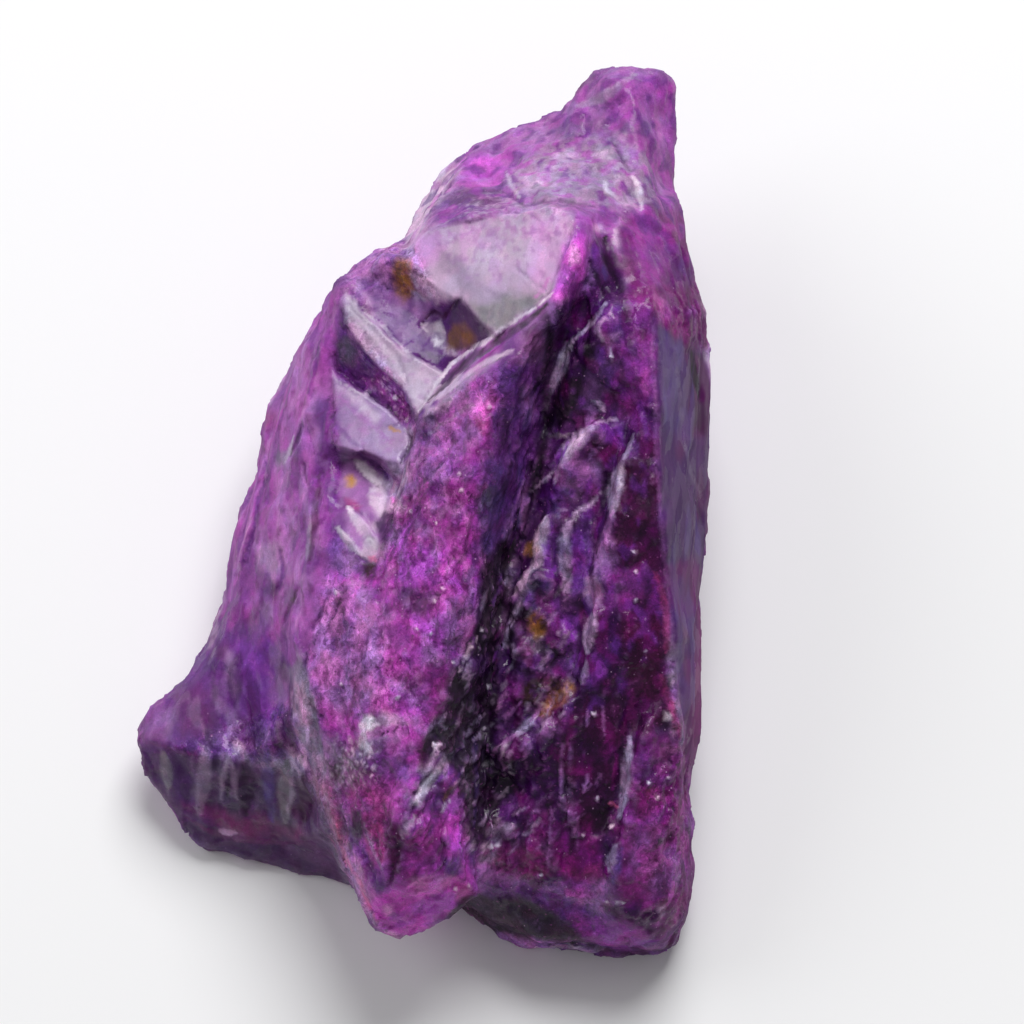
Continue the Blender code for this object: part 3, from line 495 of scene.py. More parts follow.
    ("flank pink", "hot pink", 0.4, 7, [(240, 520), (256, 520), (250, 556), (238, 560)]),
    ("flank blot", "deep violet", 0.9, 4, [(262, 594), (274, 578), (282, 586), (276, 598)]),
    ("flank lilac", "lilac", 0.55, 8, [(256, 548), (284, 540), (286, 574), (262, 580)]),
    ("flank low", "dusk", 0.6, 9, [(216, 620), (240, 600), (270, 606), (262, 640), (222, 650)]),
    ("flank low grey", "ash", 0.4, 7, [(286, 580), (300, 580), (296, 606), (284, 606)]),

    ("lobe", "violet", 0.9, 8, [(144, 740), (160, 700), (200, 650), (226, 620), (272, 640), (288, 690),
     (300, 750), (250, 764), (200, 754), (150, 754)]),
    ("lobe plum", "plum", 0.5, 9, [(176, 690), (214, 684), (224, 730), (184, 736)]),
    ("lobe magenta", "bright violet", 0.6, 9, [(234, 640), (268, 650), (280, 700), (270, 728),
     (246, 722), (238, 680)]),
    ("lobe blue", "violet", 0.5, 6, [(196, 652), (214, 648), (220, 700), (206, 700)]),
    ("lobe mauve", "mauve", 0.7, 6, [(268, 670), (288, 680), (290, 708), (274, 704)]),
    ("lobe blue three", "deep violet", 0.7, 6, [(276, 722), (292, 724), (290, 748), (272, 746)]),
    ("lobe tip", "mauve", 0.6, 6, [(144, 740), (150, 716), (164, 704), (172, 724), (166, 744)]),
    ("lobe streak", "lilac", 0.45, 5, [(224, 650), (232, 652), (240, 690), (238, 704), (228, 684)]),
    # The lobe's front: its own violet and rose, darker with painted shade, since it faces away from the
    # lamps.
    ("lobe front", "slate", 0.9, 5, [(146, 752), (200, 752), (250, 764), (292, 776), (320, 800),
     (334, 846), (346, 890), (300, 880), (240, 864), (190, 838), (162, 800)]),
    ("lobe front purple", "violet", 0.5, 6, [(172, 790), (204, 792), (220, 830), (186, 822)]),
    ("lobe front rose", "rose", 0.35, 8, [(184, 800), (230, 812), (300, 824), (300, 840), (230, 838)]),
    ("lobe white chip", "lilac", 0.9, 1.2, [(231, 742), (237, 739), (243, 743), (245, 750), (240, 756),
     (233, 750)]),
    ("lobe corner", "plum", 0.8, 5, [(292, 806), (314, 800), (316, 820), (300, 826)]),
    # Painted shade: the ash grey of the lobe's low band by the floor.
    ("lobe foot", "ash", 0.55, 4, [(196, 842), (260, 862), (346, 882), (348, 896), (260, 872),
     (192, 850)]),

    # Painted shade: the charcoal of the front wall, which lies in shadow under the lip.
    ("front wall", "charcoal", 0.95, 4, [(462, 898), (480, 893), (508, 892), (540, 900), (566, 916),
     (590, 930), (600, 946), (540, 940), (470, 928), (440, 922)]),
    ("front lip", "violet", 0.85, 4, [(484, 882), (544, 888), (590, 908), (640, 930), (660, 944),
     (620, 954), (580, 938), (556, 914), (530, 900), (484, 894)]),
    ("front lip glow", "magenta", 0.55, 5, [(566, 918), (600, 916), (640, 930), (652, 944), (620, 950),
     (580, 936)]),
    ("front lip edge", "dark plum", 0.7, 3, [(580, 940), (620, 952), (650, 950), (640, 958),
     (600, 952)]),
]

# Ledges, cracks and streaks, with painted highlights, glints and shades among them: name, colour, strength,
# width in pixels, rise in mm, route in the photograph.
LINES = [
    ("tip streak", "lilac", 0.85, 9, 0.06, [(578, 106), (600, 98), (620, 86), (634, 74)]),
    ("tip streak dark", "violet", 0.5, 5, 0.0, [(596, 110), (622, 98), (640, 84)]),
    ("head crack", "deep violet", 0.8, 4, -0.14, [(614, 144), (622, 158), (630, 172)]),
    ("band ledge", "white", 0.6, 4, 0.1, [(506, 172), (512, 186), (520, 198)]),
    ("band ledge right", "white", 0.8, 6, 0.14, [(632, 176), (640, 190), (642, 210)]),
    ("band ledge low", "white", 0.6, 5, 0.1, [(604, 176), (606, 190), (618, 198)]),
    ("band crack", "dusk", 0.7, 4, -0.12, [(500, 190), (526, 206), (560, 200), (600, 208)]),
    ("pit crack", "near black", 0.9, 7, -0.14, [(604, 236), (604, 254), (612, 272), (620, 292)]),
    ("pit crack two", "near black", 0.8, 5, -0.1, [(590, 262), (598, 280), (604, 296)]),
    ("pit facet", "bright violet", 0.7, 6, 0.06, [(594, 244), (596, 258)]),
    ("pit facet two", "magenta", 0.7, 6, 0.06, [(614, 246), (622, 262)]),
    ("pit facet three", "blue violet", 0.7, 6, 0.06, [(604, 266), (606, 282)]),
    ("window foot sliver", "hot pink", 0.8, 4, 0.05, [(549, 276), (542, 292), (533, 298)]),
    ("window step", "lilac", 0.5, 5, 0.05, [(444, 252), (470, 280), (500, 296)]),
    ("window crease", "grey lilac", 0.6, 3, -0.05, [(516, 268), (536, 284), (548, 292)]),
    ("window top edge", "mauve", 0.5, 4, 0.06, [(420, 232), (462, 222), (500, 214), (550, 206)]),
    ("seam", "wine", 0.95, 4, -0.18, [(420, 324), (428, 316), (434, 312), (444, 318), (450, 308),
     (460, 300)]),
    ("facet edge", "ash", 0.7, 3, 0.08, [(462, 300), (478, 318), (492, 336)]),
    ("tread two edge", "white", 0.4, 2.5, 0.04, [(350, 296), (372, 317), (388, 331), (404, 350),
     (413, 356), (444, 373)]),
    ("tread two streak", "grey lilac", 0.9, 6, -0.04, [(350, 306), (376, 332), (398, 356), (408, 384)]),
    ("tread two streak low", "ash", 0.6, 4, 0.0, [(354, 318), (372, 342), (392, 366)]),
    ("tread three streak", "mauve", 0.7, 5, 0.0, [(338, 396), (356, 414), (376, 428), (392, 444)]),
    ("tread three streak low", "violet", 0.5, 5, 0.0, [(336, 424), (350, 440), (364, 448)]),
    ("tread three gold", "gold", 0.8, 3.5, 0.0, [(388, 426), (394, 430), (400, 432)]),
    ("tread two spot", "dusk", 0.8, 4, -0.06, [(362, 332), (365, 334)]),
    ("tread three edge", "white", 0.5, 3, 0.05, [(333, 375), (341, 382), (354, 390), (369, 398),
     (385, 410), (400, 424), (411, 436)]),
    ("tread four shadow", "deep violet", 0.8, 4, -0.12, [(354, 453), (366, 458), (382, 470),
     (390, 482)]),
    ("tread five one", "white", 0.85, 11, 0.05, [(348, 509), (360, 525), (374, 546)]),
    ("tread five two", "white", 0.85, 7, 0.05, [(336, 527), (347, 540), (362, 555)]),
    ("tread five ring", "slate", 0.6, 1.8, 0.0, [(365, 540), (369, 536), (374, 539), (371, 543),
     (366, 541)]),
    ("tread four crack", "slate", 0.7, 2.0, -0.04, [(367, 476), (374, 484), (381, 490)]),
    ("tread four top", "white", 0.85, 8, 0.0, [(357, 461), (367, 472), (378, 484)]),
    ("tread four strip", "pale grey", 0.75, 4, 0.06, [(389, 505), (398, 505), (408, 508)]),
    ("tread four cube", "hot pink", 0.7, 6, 0.06, [(391, 498), (397, 500)]),
    ("tread four cube two", "hot pink", 0.6, 5, 0.05, [(402, 496), (407, 499)]),
    ("tread left shade", "violet", 0.7, 7, -0.04, [(338, 464), (335, 480), (334, 498)]),
    ("wall line high", "white", 0.95, 4, 0.14, [(552, 294), (529, 312), (497, 333), (472, 349),
     (452, 364), (436, 386), (426, 402), (418, 411)]),
    ("wall shade", "charcoal", 0.9, 8, -0.14, [(548, 304), (524, 324), (498, 341), (474, 357),
     (456, 372), (442, 388), (430, 402)]),
    ("wall line low", "pale grey", 0.9, 8, 0.14, [(513, 350), (497, 356), (482, 366), (460, 379),
     (444, 392), (430, 403)]),
    ("wall line cut", "ash", 0.7, 2.5, -0.05, [(506, 354), (486, 366), (464, 380), (446, 394)]),
    ("wall line foot", "grey lilac", 0.7, 4, 0.06, [(492, 366), (470, 380), (450, 396), (434, 408)]),
    ("wall streak", "ash", 0.7, 2.5, -0.06, [(500, 344), (478, 358), (456, 376), (444, 386)]),
    ("wall foot", "slate", 0.7, 7, 0.0, [(420, 420), (440, 410), (462, 398), (484, 384)]),
    ("ridge streak one", "lilac", 0.6, 4, 0.08, [(428, 434), (446, 422), (462, 410), (474, 404)]),
    ("ridge streak two", "light mauve", 0.6, 4, 0.08, [(414, 470), (424, 452), (440, 440)]),
    ("ridge streak three", "deep violet", 0.6, 4, -0.1, [(408, 500), (424, 480), (444, 462)]),
    ("ridge streak four", "deep violet", 0.5, 4, -0.1, [(390, 546), (408, 522), (420, 506)]),
    ("tread end shadow", "near black", 0.7, 4, -0.12, [(402, 462), (410, 446), (414, 432)]),
    ("rim crack one", "deep violet", 0.8, 4, -0.16, [(346, 588), (338, 606), (330, 620), (326, 632)]),
    ("highlight crack", "near black", 0.9, 2.5, -0.1, [(380, 736), (384, 733), (394, 731), (402, 725)]),
    ("block edge light", "pale pink", 0.9, 5, 0.1, [(300, 700), (303, 712), (307, 730), (309, 744)]),
    ("block edge line", "grey lilac", 0.7, 4, 0.12, [(306, 690), (318, 730), (322, 770), (328, 810),
     (340, 846), (356, 886)]),
    ("block groove", "ash", 0.7, 5, -0.14, [(312, 700), (320, 736), (326, 780)]),
    ("spur edge", "rose pink", 0.6, 4, 0.1, [(336, 826), (342, 850), (358, 880), (370, 906),
     (378, 926)]),
    ("spur streak", "lilac", 0.6, 3.5, 0.08, [(364, 824), (372, 846), (382, 872)]),
    ("spur blade one", "white", 0.95, 9, 0.2, [(437, 771), (429, 782), (421, 794), (416, 804)]),
    ("spur blade two", "pale grey", 0.95, 7, 0.18, [(416, 816), (409, 826), (402, 838)]),
    ("spur blade three", "pale grey", 0.85, 4, 0.12, [(449, 801), (444, 808), (441, 813)]),
    ("spur gold edge", "rust", 0.8, 5, 0.1, [(457, 780), (451, 790), (444, 800)]),
    ("spur gully line", "wine", 0.8, 6, -0.16, [(400, 826), (398, 842), (396, 862), (388, 886)]),
    ("spur end edge", "hot pink", 0.8, 4, 0.06, [(408, 886), (424, 877), (446, 876), (462, 882),
     (476, 892)]),
    ("spur facet glow", "hot pink", 0.6, 12, 0.05, [(432, 884), (448, 884)]),
    ("highlight blaze", "bright white", 0.95, 15, 0.06, [(361, 726), (368, 723), (378, 724)]),
    ("highlight wing", "pale pink", 0.95, 11, 0.05, [(376, 722), (392, 718), (406, 724)]),
    ("highlight fall", "white", 0.7, 9, 0.03, [(362, 732), (362, 744), (372, 752)]),
    ("highlight low", "light mauve", 0.6, 9, 0.03, [(384, 746), (398, 738), (408, 730)]),
    ("spur tip", "pale pink", 0.7, 4, 0.05, [(384, 930), (396, 935)]),
    ("groove left edge", "light mauve", 0.6, 4, 0.08, [(478, 600), (474, 622), (466, 640), (456, 664),
     (450, 690)]),
    ("groove glint one", "pale grey", 0.9, 4, 0.12, [(478, 636), (471, 648), (465, 658), (459, 672)]),
    ("groove glint two", "grey lilac", 0.8, 3, 0.08, [(463, 700), (461, 712), (457, 724)]),
    ("groove glint three", "lilac", 0.8, 4, 0.1, [(446, 714), (441, 724), (446, 729)]),
    ("groove glint four", "white", 0.9, 3.5, 0.1, [(434, 742), (437, 749)]),
    ("groove glint five", "lilac", 0.7, 3.5, 0.08, [(426, 770), (436, 758), (446, 752)]),
    ("groove glint six", "grey green", 0.9, 5, 0.06, [(484, 764), (494, 762)]),
    ("groove glint seven", "pale grey", 0.9, 2.5, 0.08, [(509, 763), (512, 770)]),
    ("groove streak one", "ash", 0.7, 3, 0.08, [(464, 740), (467, 780), (470, 820)]),
    ("groove streak two", "blue dusk", 0.8, 4, 0.08, [(474, 736), (476, 780), (474, 826)]),
    ("groove streak three", "ash", 0.7, 2.5, 0.08, [(484, 818), (494, 806), (504, 796)]),
    ("groove streak four", "blue dusk", 0.8, 5, 0.08, [(510, 440), (506, 480), (498, 524)]),
    ("groove streak five", "grey lilac", 0.7, 2.5, 0.1, [(530, 492), (542, 480), (554, 470)]),
    # The plateau's steps: each pale band is a painted highlight where a ledge faces the lamps; the lines
    # named shade are painted shade.
    ("first step", "blade", 0.95, 4, 0.2, [(606, 303), (600, 312), (588, 328), (578, 336), (571, 343)]),
    ("first step wide", "blade", 0.95, 11, 0.22, [(572, 340), (564, 356), (561, 367), (554, 381),
     (551, 392)]),
    ("first step heart", "white", 0.8, 5, 0.05, [(572, 344), (564, 356), (560, 368)]),
    ("first step foot", "ash", 0.8, 4, 0.1, [(551, 388), (548, 402), (546, 412)]),
    ("second step head", "lilac", 0.9, 5, 0.12, [(610, 313), (600, 322), (597, 330), (604, 344)]),
    ("second step drop", "lilac", 0.85, 4, 0.08, [(610, 348), (611, 361)]),
    ("second step glint", "blade", 0.9, 6, 0.1, [(591, 400), (600, 404), (602, 412)]),
    ("second step glint two", "blade", 0.85, 3, 0.08, [(596, 423), (608, 420), (620, 418)]),
    ("second step mauve", "mauve", 0.8, 9, 0.0, [(594, 404), (592, 416), (586, 426)]),
    ("bay green", "grey green", 0.85, 5, 0.08, [(546, 434), (556, 436), (568, 434)]),
    ("second step", "blade", 0.97, 15, 0.24, [(592, 428), (580, 438), (570, 448), (563, 457),
     (559, 466)]),
    ("second step white", "white", 0.5, 5, 0.05, [(584, 434), (574, 444), (564, 456)]),
    ("second step foot", "blade", 0.8, 5, 0.12, [(559, 466), (557, 476), (553, 486)]),
    ("second step low", "grey lilac", 0.85, 3, 0.12, [(556, 470), (544, 480), (534, 489)]),
    ("main step top", "blade", 0.9, 5, 0.2, [(635, 434), (630, 446), (624, 460)]),
    ("main step", "blade", 0.97, 15, 0.26, [(622, 464), (618, 480), (615, 494), (612, 512)]),
    ("main step white", "white", 0.8, 6, 0.05, [(622, 466), (619, 480), (620, 490)]),
    ("main step foot", "light mauve", 0.9, 9, 0.2, [(612, 512), (607, 530), (601, 556), (596, 576)]),
    ("main step shade", "wine", 0.8, 6, -0.1, [(630, 470), (624, 490), (620, 516)]),
    ("blade right head", "blade", 0.9, 5, 0.12, [(600, 492), (590, 504), (580, 510), (572, 518)]),
    ("blade right", "blade", 0.85, 13, 0.18, [(570, 522), (564, 540), (564, 556), (567, 578),
     (565, 592)]),
    ("blade right shade", "deep violet", 0.7, 4, -0.12, [(557, 530), (556, 560), (558, 590)]),
    ("blade left", "pale grey", 0.95, 13, 0.24, [(547, 518), (543, 528), (540, 544), (538, 560),
     (532, 570)]),
    ("blade left dark", "near black", 0.85, 4, -0.1, [(552, 510), (546, 512), (540, 520)]),
    ("blade pale", "pale grey", 0.85, 9, 0.16, [(530, 570), (522, 584), (515, 596)]),
    ("blade pale two", "grey lilac", 0.8, 4, 0.14, [(538, 572), (528, 586), (520, 596)]),
    ("blade glint", "lilac", 0.8, 3, 0.1, [(507, 574), (505, 586)]),
    ("low blade", "blade", 0.9, 5, 0.16, [(520, 604), (514, 614), (509, 622)]),
    ("low blade foot", "blade", 0.7, 5, 0.14, [(508, 626), (506, 640), (503, 648)]),
    ("low blade two", "lilac", 0.8, 5, 0.14, [(506, 644), (513, 646), (515, 656)]),
    ("low blade three", "blade", 0.7, 4, 0.1, [(516, 650), (512, 664), (508, 672)]),
    ("low blade four", "light mauve", 0.7, 4, 0.1, [(508, 690), (500, 704), (496, 712)]),
    ("low blade five", "mauve", 0.7, 4, 0.1, [(522, 700), (508, 716), (500, 726)]),
    ("low step top", "light mauve", 0.8, 6, 0.15, [(596, 600), (595, 612)]),
    ("low step", "blade", 0.97, 12, 0.24, [(594, 614), (589, 634), (587, 652)]),
    ("low step foot", "lilac", 0.9, 7, 0.18, [(586, 662), (585, 672), (581, 684)]),
    ("low step shade", "dark plum", 0.8, 4, -0.12, [(579, 630), (578, 652), (574, 668)]),
    ("foot step", "blade", 0.9, 5, 0.18, [(565, 712), (560, 718)]),
    ("foot step low", "blade", 0.9, 10, 0.18, [(536, 716), (526, 726), (516, 734)]),
    ("foot step end", "light mauve", 0.7, 5, 0.12, [(516, 734), (504, 744), (500, 752)]),
    ("fold line", "mauve", 0.85, 3, 0.14, [(563, 742), (561, 770), (559, 800)]),
    ("fold line end", "mauve", 0.8, 3, 0.12, [(558, 800), (560, 816)]),
    ("fold line two", "mauve", 0.85, 3, 0.14, [(551, 806), (549, 840), (549, 874)]),
    ("fold slants", "mauve", 0.6, 4, 0.1, [(566, 812), (574, 804), (582, 800)]),
    ("fold slants two", "mauve", 0.55, 4, 0.1, [(566, 826), (576, 820), (584, 814)]),
    ("fold slants three", "mauve", 0.5, 3, 0.1, [(584, 792), (592, 784)]),
    ("lump edge", "blade", 0.9, 10, 0.24, [(630, 736), (628, 756), (626, 776), (623, 800), (619, 816)]),
    ("lump edge white", "pale grey", 0.5, 3, 0.05, [(629, 744), (627, 770)]),
    ("lump edge foot", "ash", 0.8, 5, 0.2, [(618, 818), (614, 828)]),
    ("lump edge low", "blade", 0.8, 8, 0.16, [(615, 846), (611, 858), (608, 872)]),
    ("lump edge blue", "blue violet", 0.7, 8, 0.0, [(620, 850), (617, 870), (612, 884)]),
    ("pink chip", "rose pink", 0.95, 4, 0.1, [(609, 803), (617, 807)]),
    ("crest rose", "rose", 0.75, 8, 0.1, [(656, 574), (664, 604), (668, 626), (666, 650)]),
    ("crest rose low", "rose", 0.8, 9, 0.1, [(662, 676), (667, 694), (672, 712), (680, 736)]),
    ("crest pale", "mauve", 0.4, 4, 0.12, [(652, 320), (654, 380), (655, 430), (660, 500), (664, 560),
     (674, 640)]),
    ("side stripe", "near black", 0.9, 7, -0.15, [(691, 352), (695, 376), (699, 398)]),
    ("side stripe pale", "grey lilac", 0.25, 4, 0.08, [(673, 352), (678, 380), (682, 420), (686, 446)]),
    ("side streak", "grey lilac", 0.35, 4, 0.08, [(684, 440), (690, 470), (703, 500)]),
    ("side rim", "plum magenta", 0.55, 6, 0.0, [(710, 448), (708, 520), (704, 600), (702, 680),
     (698, 760)]),
    ("side low dark", "deep violet", 0.7, 4, -0.08, [(688, 486), (696, 504), (702, 524)]),
    ("flank crack one", "near black", 0.7, 4, -0.18, [(301, 424), (297, 440), (290, 456)]),
    ("flank pale one", "pale grey", 0.8, 4, 0.08, [(294, 436), (289, 452), (284, 464)]),
    ("flank crack two", "brown", 0.75, 7, -0.18, [(320, 474), (316, 500), (314, 530), (310, 560)]),
    ("flank pale two", "lilac", 0.8, 4, 0.1, [(311, 516), (309, 540), (306, 560)]),
    ("flank crack three", "plum", 0.7, 3.5, -0.12, [(302, 464), (306, 484)]),
    ("flank crack four", "violet", 0.8, 4, -0.16, [(264, 452), (268, 476), (258, 500), (254, 530),
     (244, 562)]),
    ("flank crack five", "deep violet", 0.8, 4, -0.16, [(328, 590), (322, 610), (312, 630)]),
    ("flank crack six", "brown", 0.7, 4, -0.14, [(298, 588), (290, 606), (284, 622)]),
    ("flank crack seven", "violet", 0.7, 4, -0.12, [(320, 340), (314, 372), (308, 396)]),
    ("flank crack eight", "violet", 0.7, 4, -0.12, [(280, 550), (284, 570), (280, 590)]),
    ("lobe crest", "plum magenta", 0.5, 4, 0.06, [(150, 742), (180, 752), (204, 756)]),
    ("lobe chip tail", "lilac", 0.8, 4, 0.03, [(240, 752), (246, 758), (252, 767)]),
    ("lobe rib one", "grey green", 0.7, 13, 0.1, [(163, 754), (166, 770), (168, 786)]),
    ("lobe rib two", "grey lilac", 0.85, 15, 0.12, [(205, 750), (204, 780), (200, 812)]),
    ("lobe rib three", "grey lilac", 0.8, 6, 0.1, [(228, 756), (223, 776), (222, 800)]),
    ("lobe rib right", "grey lilac", 0.75, 6, 0.1, [(230, 757), (234, 778), (237, 800)]),
    ("lobe rib four", "blue violet", 0.75, 13, 0.12, [(266, 748), (268, 780), (272, 820)]),
    ("lobe rib five", "grey green", 0.85, 16, 0.14, [(286, 762), (286, 790), (286, 820)]),
    ("lobe rib five light", "lilac", 0.6, 5, 0.05, [(292, 776), (291, 796), (288, 812)]),
    ("lobe dip one", "deep violet", 0.8, 14, -0.1, [(182, 758), (184, 780), (188, 802)]),
    ("lobe dip two", "near black", 0.7, 8, -0.12, [(215, 752), (215, 770)]),
    ("lobe dip three", "near black", 0.8, 4, -0.1, [(228, 774), (228, 798)]),
    ("lobe dip four", "near black", 0.75, 18, -0.12, [(247, 764), (247, 790), (244, 812)]),
    ("lobe dip five", "dark plum", 0.8, 16, -0.1, [(304, 774), (306, 800), (306, 822)]),
    ("lobe lip line", "plum magenta", 0.6, 6, 0.08, [(186, 816), (204, 830), (228, 838), (262, 842),
     (300, 844)]),
    ("lobe lip spot", "pale pink", 0.85, 7, 0.04, [(220, 831), (228, 834), (236, 833)]),
]

# Glints, small painted highlights with a little rise under each: place in the photograph and width, in
# pixels.
GLINTS = [
    (367, 393, 6), (395, 398, 6), (395, 413, 5), (407, 420, 6), (399, 461, 5), (336, 592, 6), (435, 600,
    5), (442, 588, 4), (482, 630, 5), (489, 406, 5), (459, 474, 4), (461, 490, 4), (410, 511, 4),
    (341, 684, 4), (398, 697, 5), (453, 663, 4), (489, 686, 5), (594, 714, 4), (437, 744, 5), (635, 601, 4),
    (634, 552, 4), (635, 572, 4), (583, 835, 4), (611, 827, 5), (597, 799, 4), (657, 797, 5), (648, 783,
    4), (540, 875, 5), (491, 847, 6), (497, 846, 4), (511, 773, 4), (484, 729, 4), (498, 728, 4),
    (558, 634, 4), (618, 903, 6), (606, 902, 4), (623, 903, 4), (416, 628, 4), (431, 634, 4), (611, 356, 4),
    (472, 647, 5), (469, 886, 5), (456, 889, 5), (669, 778, 4), (645, 650, 4), (436, 522, 3), (384, 556,
    3),
]
# A small white patch: its outline in the photograph.
CHIP = [
    (665, 712), (671, 714), (671, 719), (664, 720),
]

# Seeds of the random draws.
SPLINTER_SEED = 83
FACET_SEED = 41
BREAK_SEED = 5
SHADE_SEED = 12

# Height in mm up to which the skin belongs to the flat rest face and stays as it is.
REST_SKIN = 0.15

# Roughness below which a break is glassy, from fully to not at all.
GLASSY = (0.1, 0.5)

# Facets, chips and breaks: spacing in mm, spread of their tilts, depth in mm, stretch along the stone.
FACETS = (0.9, 0.16, 0.09, (1.0, 1.8, 1.0))
CHIPS = (2.4, 0.07, 0.10, (1.0, 1.6, 1.0))
BREAKS = (5.5, 0.1, 0.1, (1.0, 1.5, 1.0))

# Share of the facets and chips that a glassy break keeps.
GLASSY_FACETS = 0.1
GLASSY_CHIPS = 0.2

# Striations and grain: depth and size in mm, shift of the noise, stretch along the stone.
RIPPLES = [
    (0.06, 1.7, 3.1, (1.0, 6.0, 1.0)),
    (0.03, 0.5, 9.7, (1.0, 1.0, 1.0)),
]

# Rise in mm and least width in pixels of the bump under a painted glint.
GLINT_RISE = 0.12
LEAST_GLINT = 6.0

# How far a face turns up out of the sides, from half of the relief to all of it, as a share.
EDGE_ON = (0.04, 0.22)

# How far from its plane, in mm, a point is still drawn to it in full, and from where it is left alone.
FLAT_REACH = (0.7, 1.4)

# Turn of a place from left alone to laid flat, softness of a break's edge in pixels, and how often
# its plane is fitted.
FLAT_TURN = (0.1, 0.3)
FLAT_SOFT = 1.5
FLAT_FITS = 2

# Clean breaks, each laid on its own plane: name, lift in mm, outline in the photograph.
FLATS = [
    ("window", 0.0, [(430, 229), (462, 221), (500, 215), (548, 205), (574, 214), (572, 240), (560, 264),
     (552, 292), (528, 310), (496, 336), (480, 322), (464, 304), (440, 290), (413, 262), (414, 240)]),
    ("grey facet", 0.0, [(457, 301), (468, 308), (490, 336), (476, 350), (456, 350), (446, 324)]),
    ("first riser", -0.1, [(333, 341), (347, 328), (363, 352), (383, 374), (402, 391), (413, 413),
     (413, 426), (388, 407), (351, 386), (335, 373)]),
    ("second tread", 0.16, [(345, 291), (352, 299), (360, 311), (380, 329), (403, 351), (413, 356),
     (444, 373), (440, 381), (429, 395), (420, 411), (414, 411), (403, 389), (383, 371), (363, 349),
     (347, 324), (342, 300)]),
    ("third tread", 0.14, [(333, 375), (341, 381), (369, 397), (385, 409), (400, 423), (411, 436),
     (411, 445), (405, 457), (399, 464), (385, 461), (363, 451), (341, 464), (335, 440)]),
    ("fourth tread", 0.12, [(342, 460), (363, 459), (383, 480), (388, 501), (385, 516), (380, 520),
     (372, 508), (344, 506), (338, 488)]),
    ("fifth tread", 0.14, [(336, 512), (347, 508), (360, 514), (372, 529), (380, 542), (379, 551),
     (369, 561), (361, 556), (348, 543), (335, 528)]),
    ("spur lens", 0.1, [(450, 809), (458, 816), (462, 836), (457, 853), (448, 846), (442, 836)]),
    ("mauve panel", 0.06, [(560, 460), (600, 462), (606, 488), (584, 502), (562, 500)]),
    ("plum panel", -0.05, [(589, 440), (620, 446), (616, 476), (600, 462)]),
    ("low dark", 0.0, [(570, 700), (616, 690), (628, 730), (618, 800), (600, 836), (570, 836)]),
]

# How strongly a splinter is painted, from the least to the most.
SPLINTER_STRENGTH = (0.5, 0.95)

# Splinters, short slanted hackle streaks whose pale colours are painted glints: area, how many, slant from
# across in degrees, length and width in pixels, rise in mm, colours.
SPLINTERS = [
    ([(512, 600), (560, 590), (572, 700), (540, 760), (500, 760), (500, 650)], 46, (48, 66), (8, 24),
     (2.5, 5.0), 0.12, ("lilac", "violet", "mauve", "ash", "near black", "grey lilac")),
    ([(440, 700), (500, 690), (510, 800), (480, 850), (450, 800), (425, 770)], 54, (44, 64), (6, 18),
     (2.5, 4.0), 0.12, ("ash", "near black", "lilac", "deep violet", "pale grey", "near black",
     "steel")),
    ([(478, 830), (540, 800), (548, 860), (500, 884), (474, 872)], 26, (20, 70), (6, 16), (2.5, 5.0),
     0.1, ("lilac", "plum magenta", "mauve", "deep violet")),
    ([(404, 760), (460, 766), (462, 800), (420, 850), (396, 850)], 26, (50, 70), (8, 20), (2.5, 5.0),
     0.12, ("magenta", "deep violet", "lilac", "violet", "bright magenta")),
    ([(500, 380), (545, 390), (540, 470), (520, 540), (490, 560), (486, 480)], 30, (66, 84), (14, 40),
     (3.0, 7.0), 0.08, ("violet", "near black", "mauve", "deep violet", "blue dusk")),
    ([(560, 440), (610, 440), (600, 600), (540, 600), (540, 520)], 24, (70, 95), (10, 30), (2.5, 5.0),
     0.1, ("violet", "mauve", "deep violet", "bright violet")),
    ([(470, 592), (502, 580), (500, 700), (464, 704), (460, 670)], 26, (56, 84), (8, 26), (2.5, 5.0),
     0.12, ("violet", "near black", "plum magenta", "lilac", "deep violet")),
    ([(566, 700), (626, 690), (614, 830), (566, 860)], 16, (70, 95), (14, 40), (2.5, 5.0), 0.08,
     ("plum magenta", "deep violet", "wine", "mauve")),
]

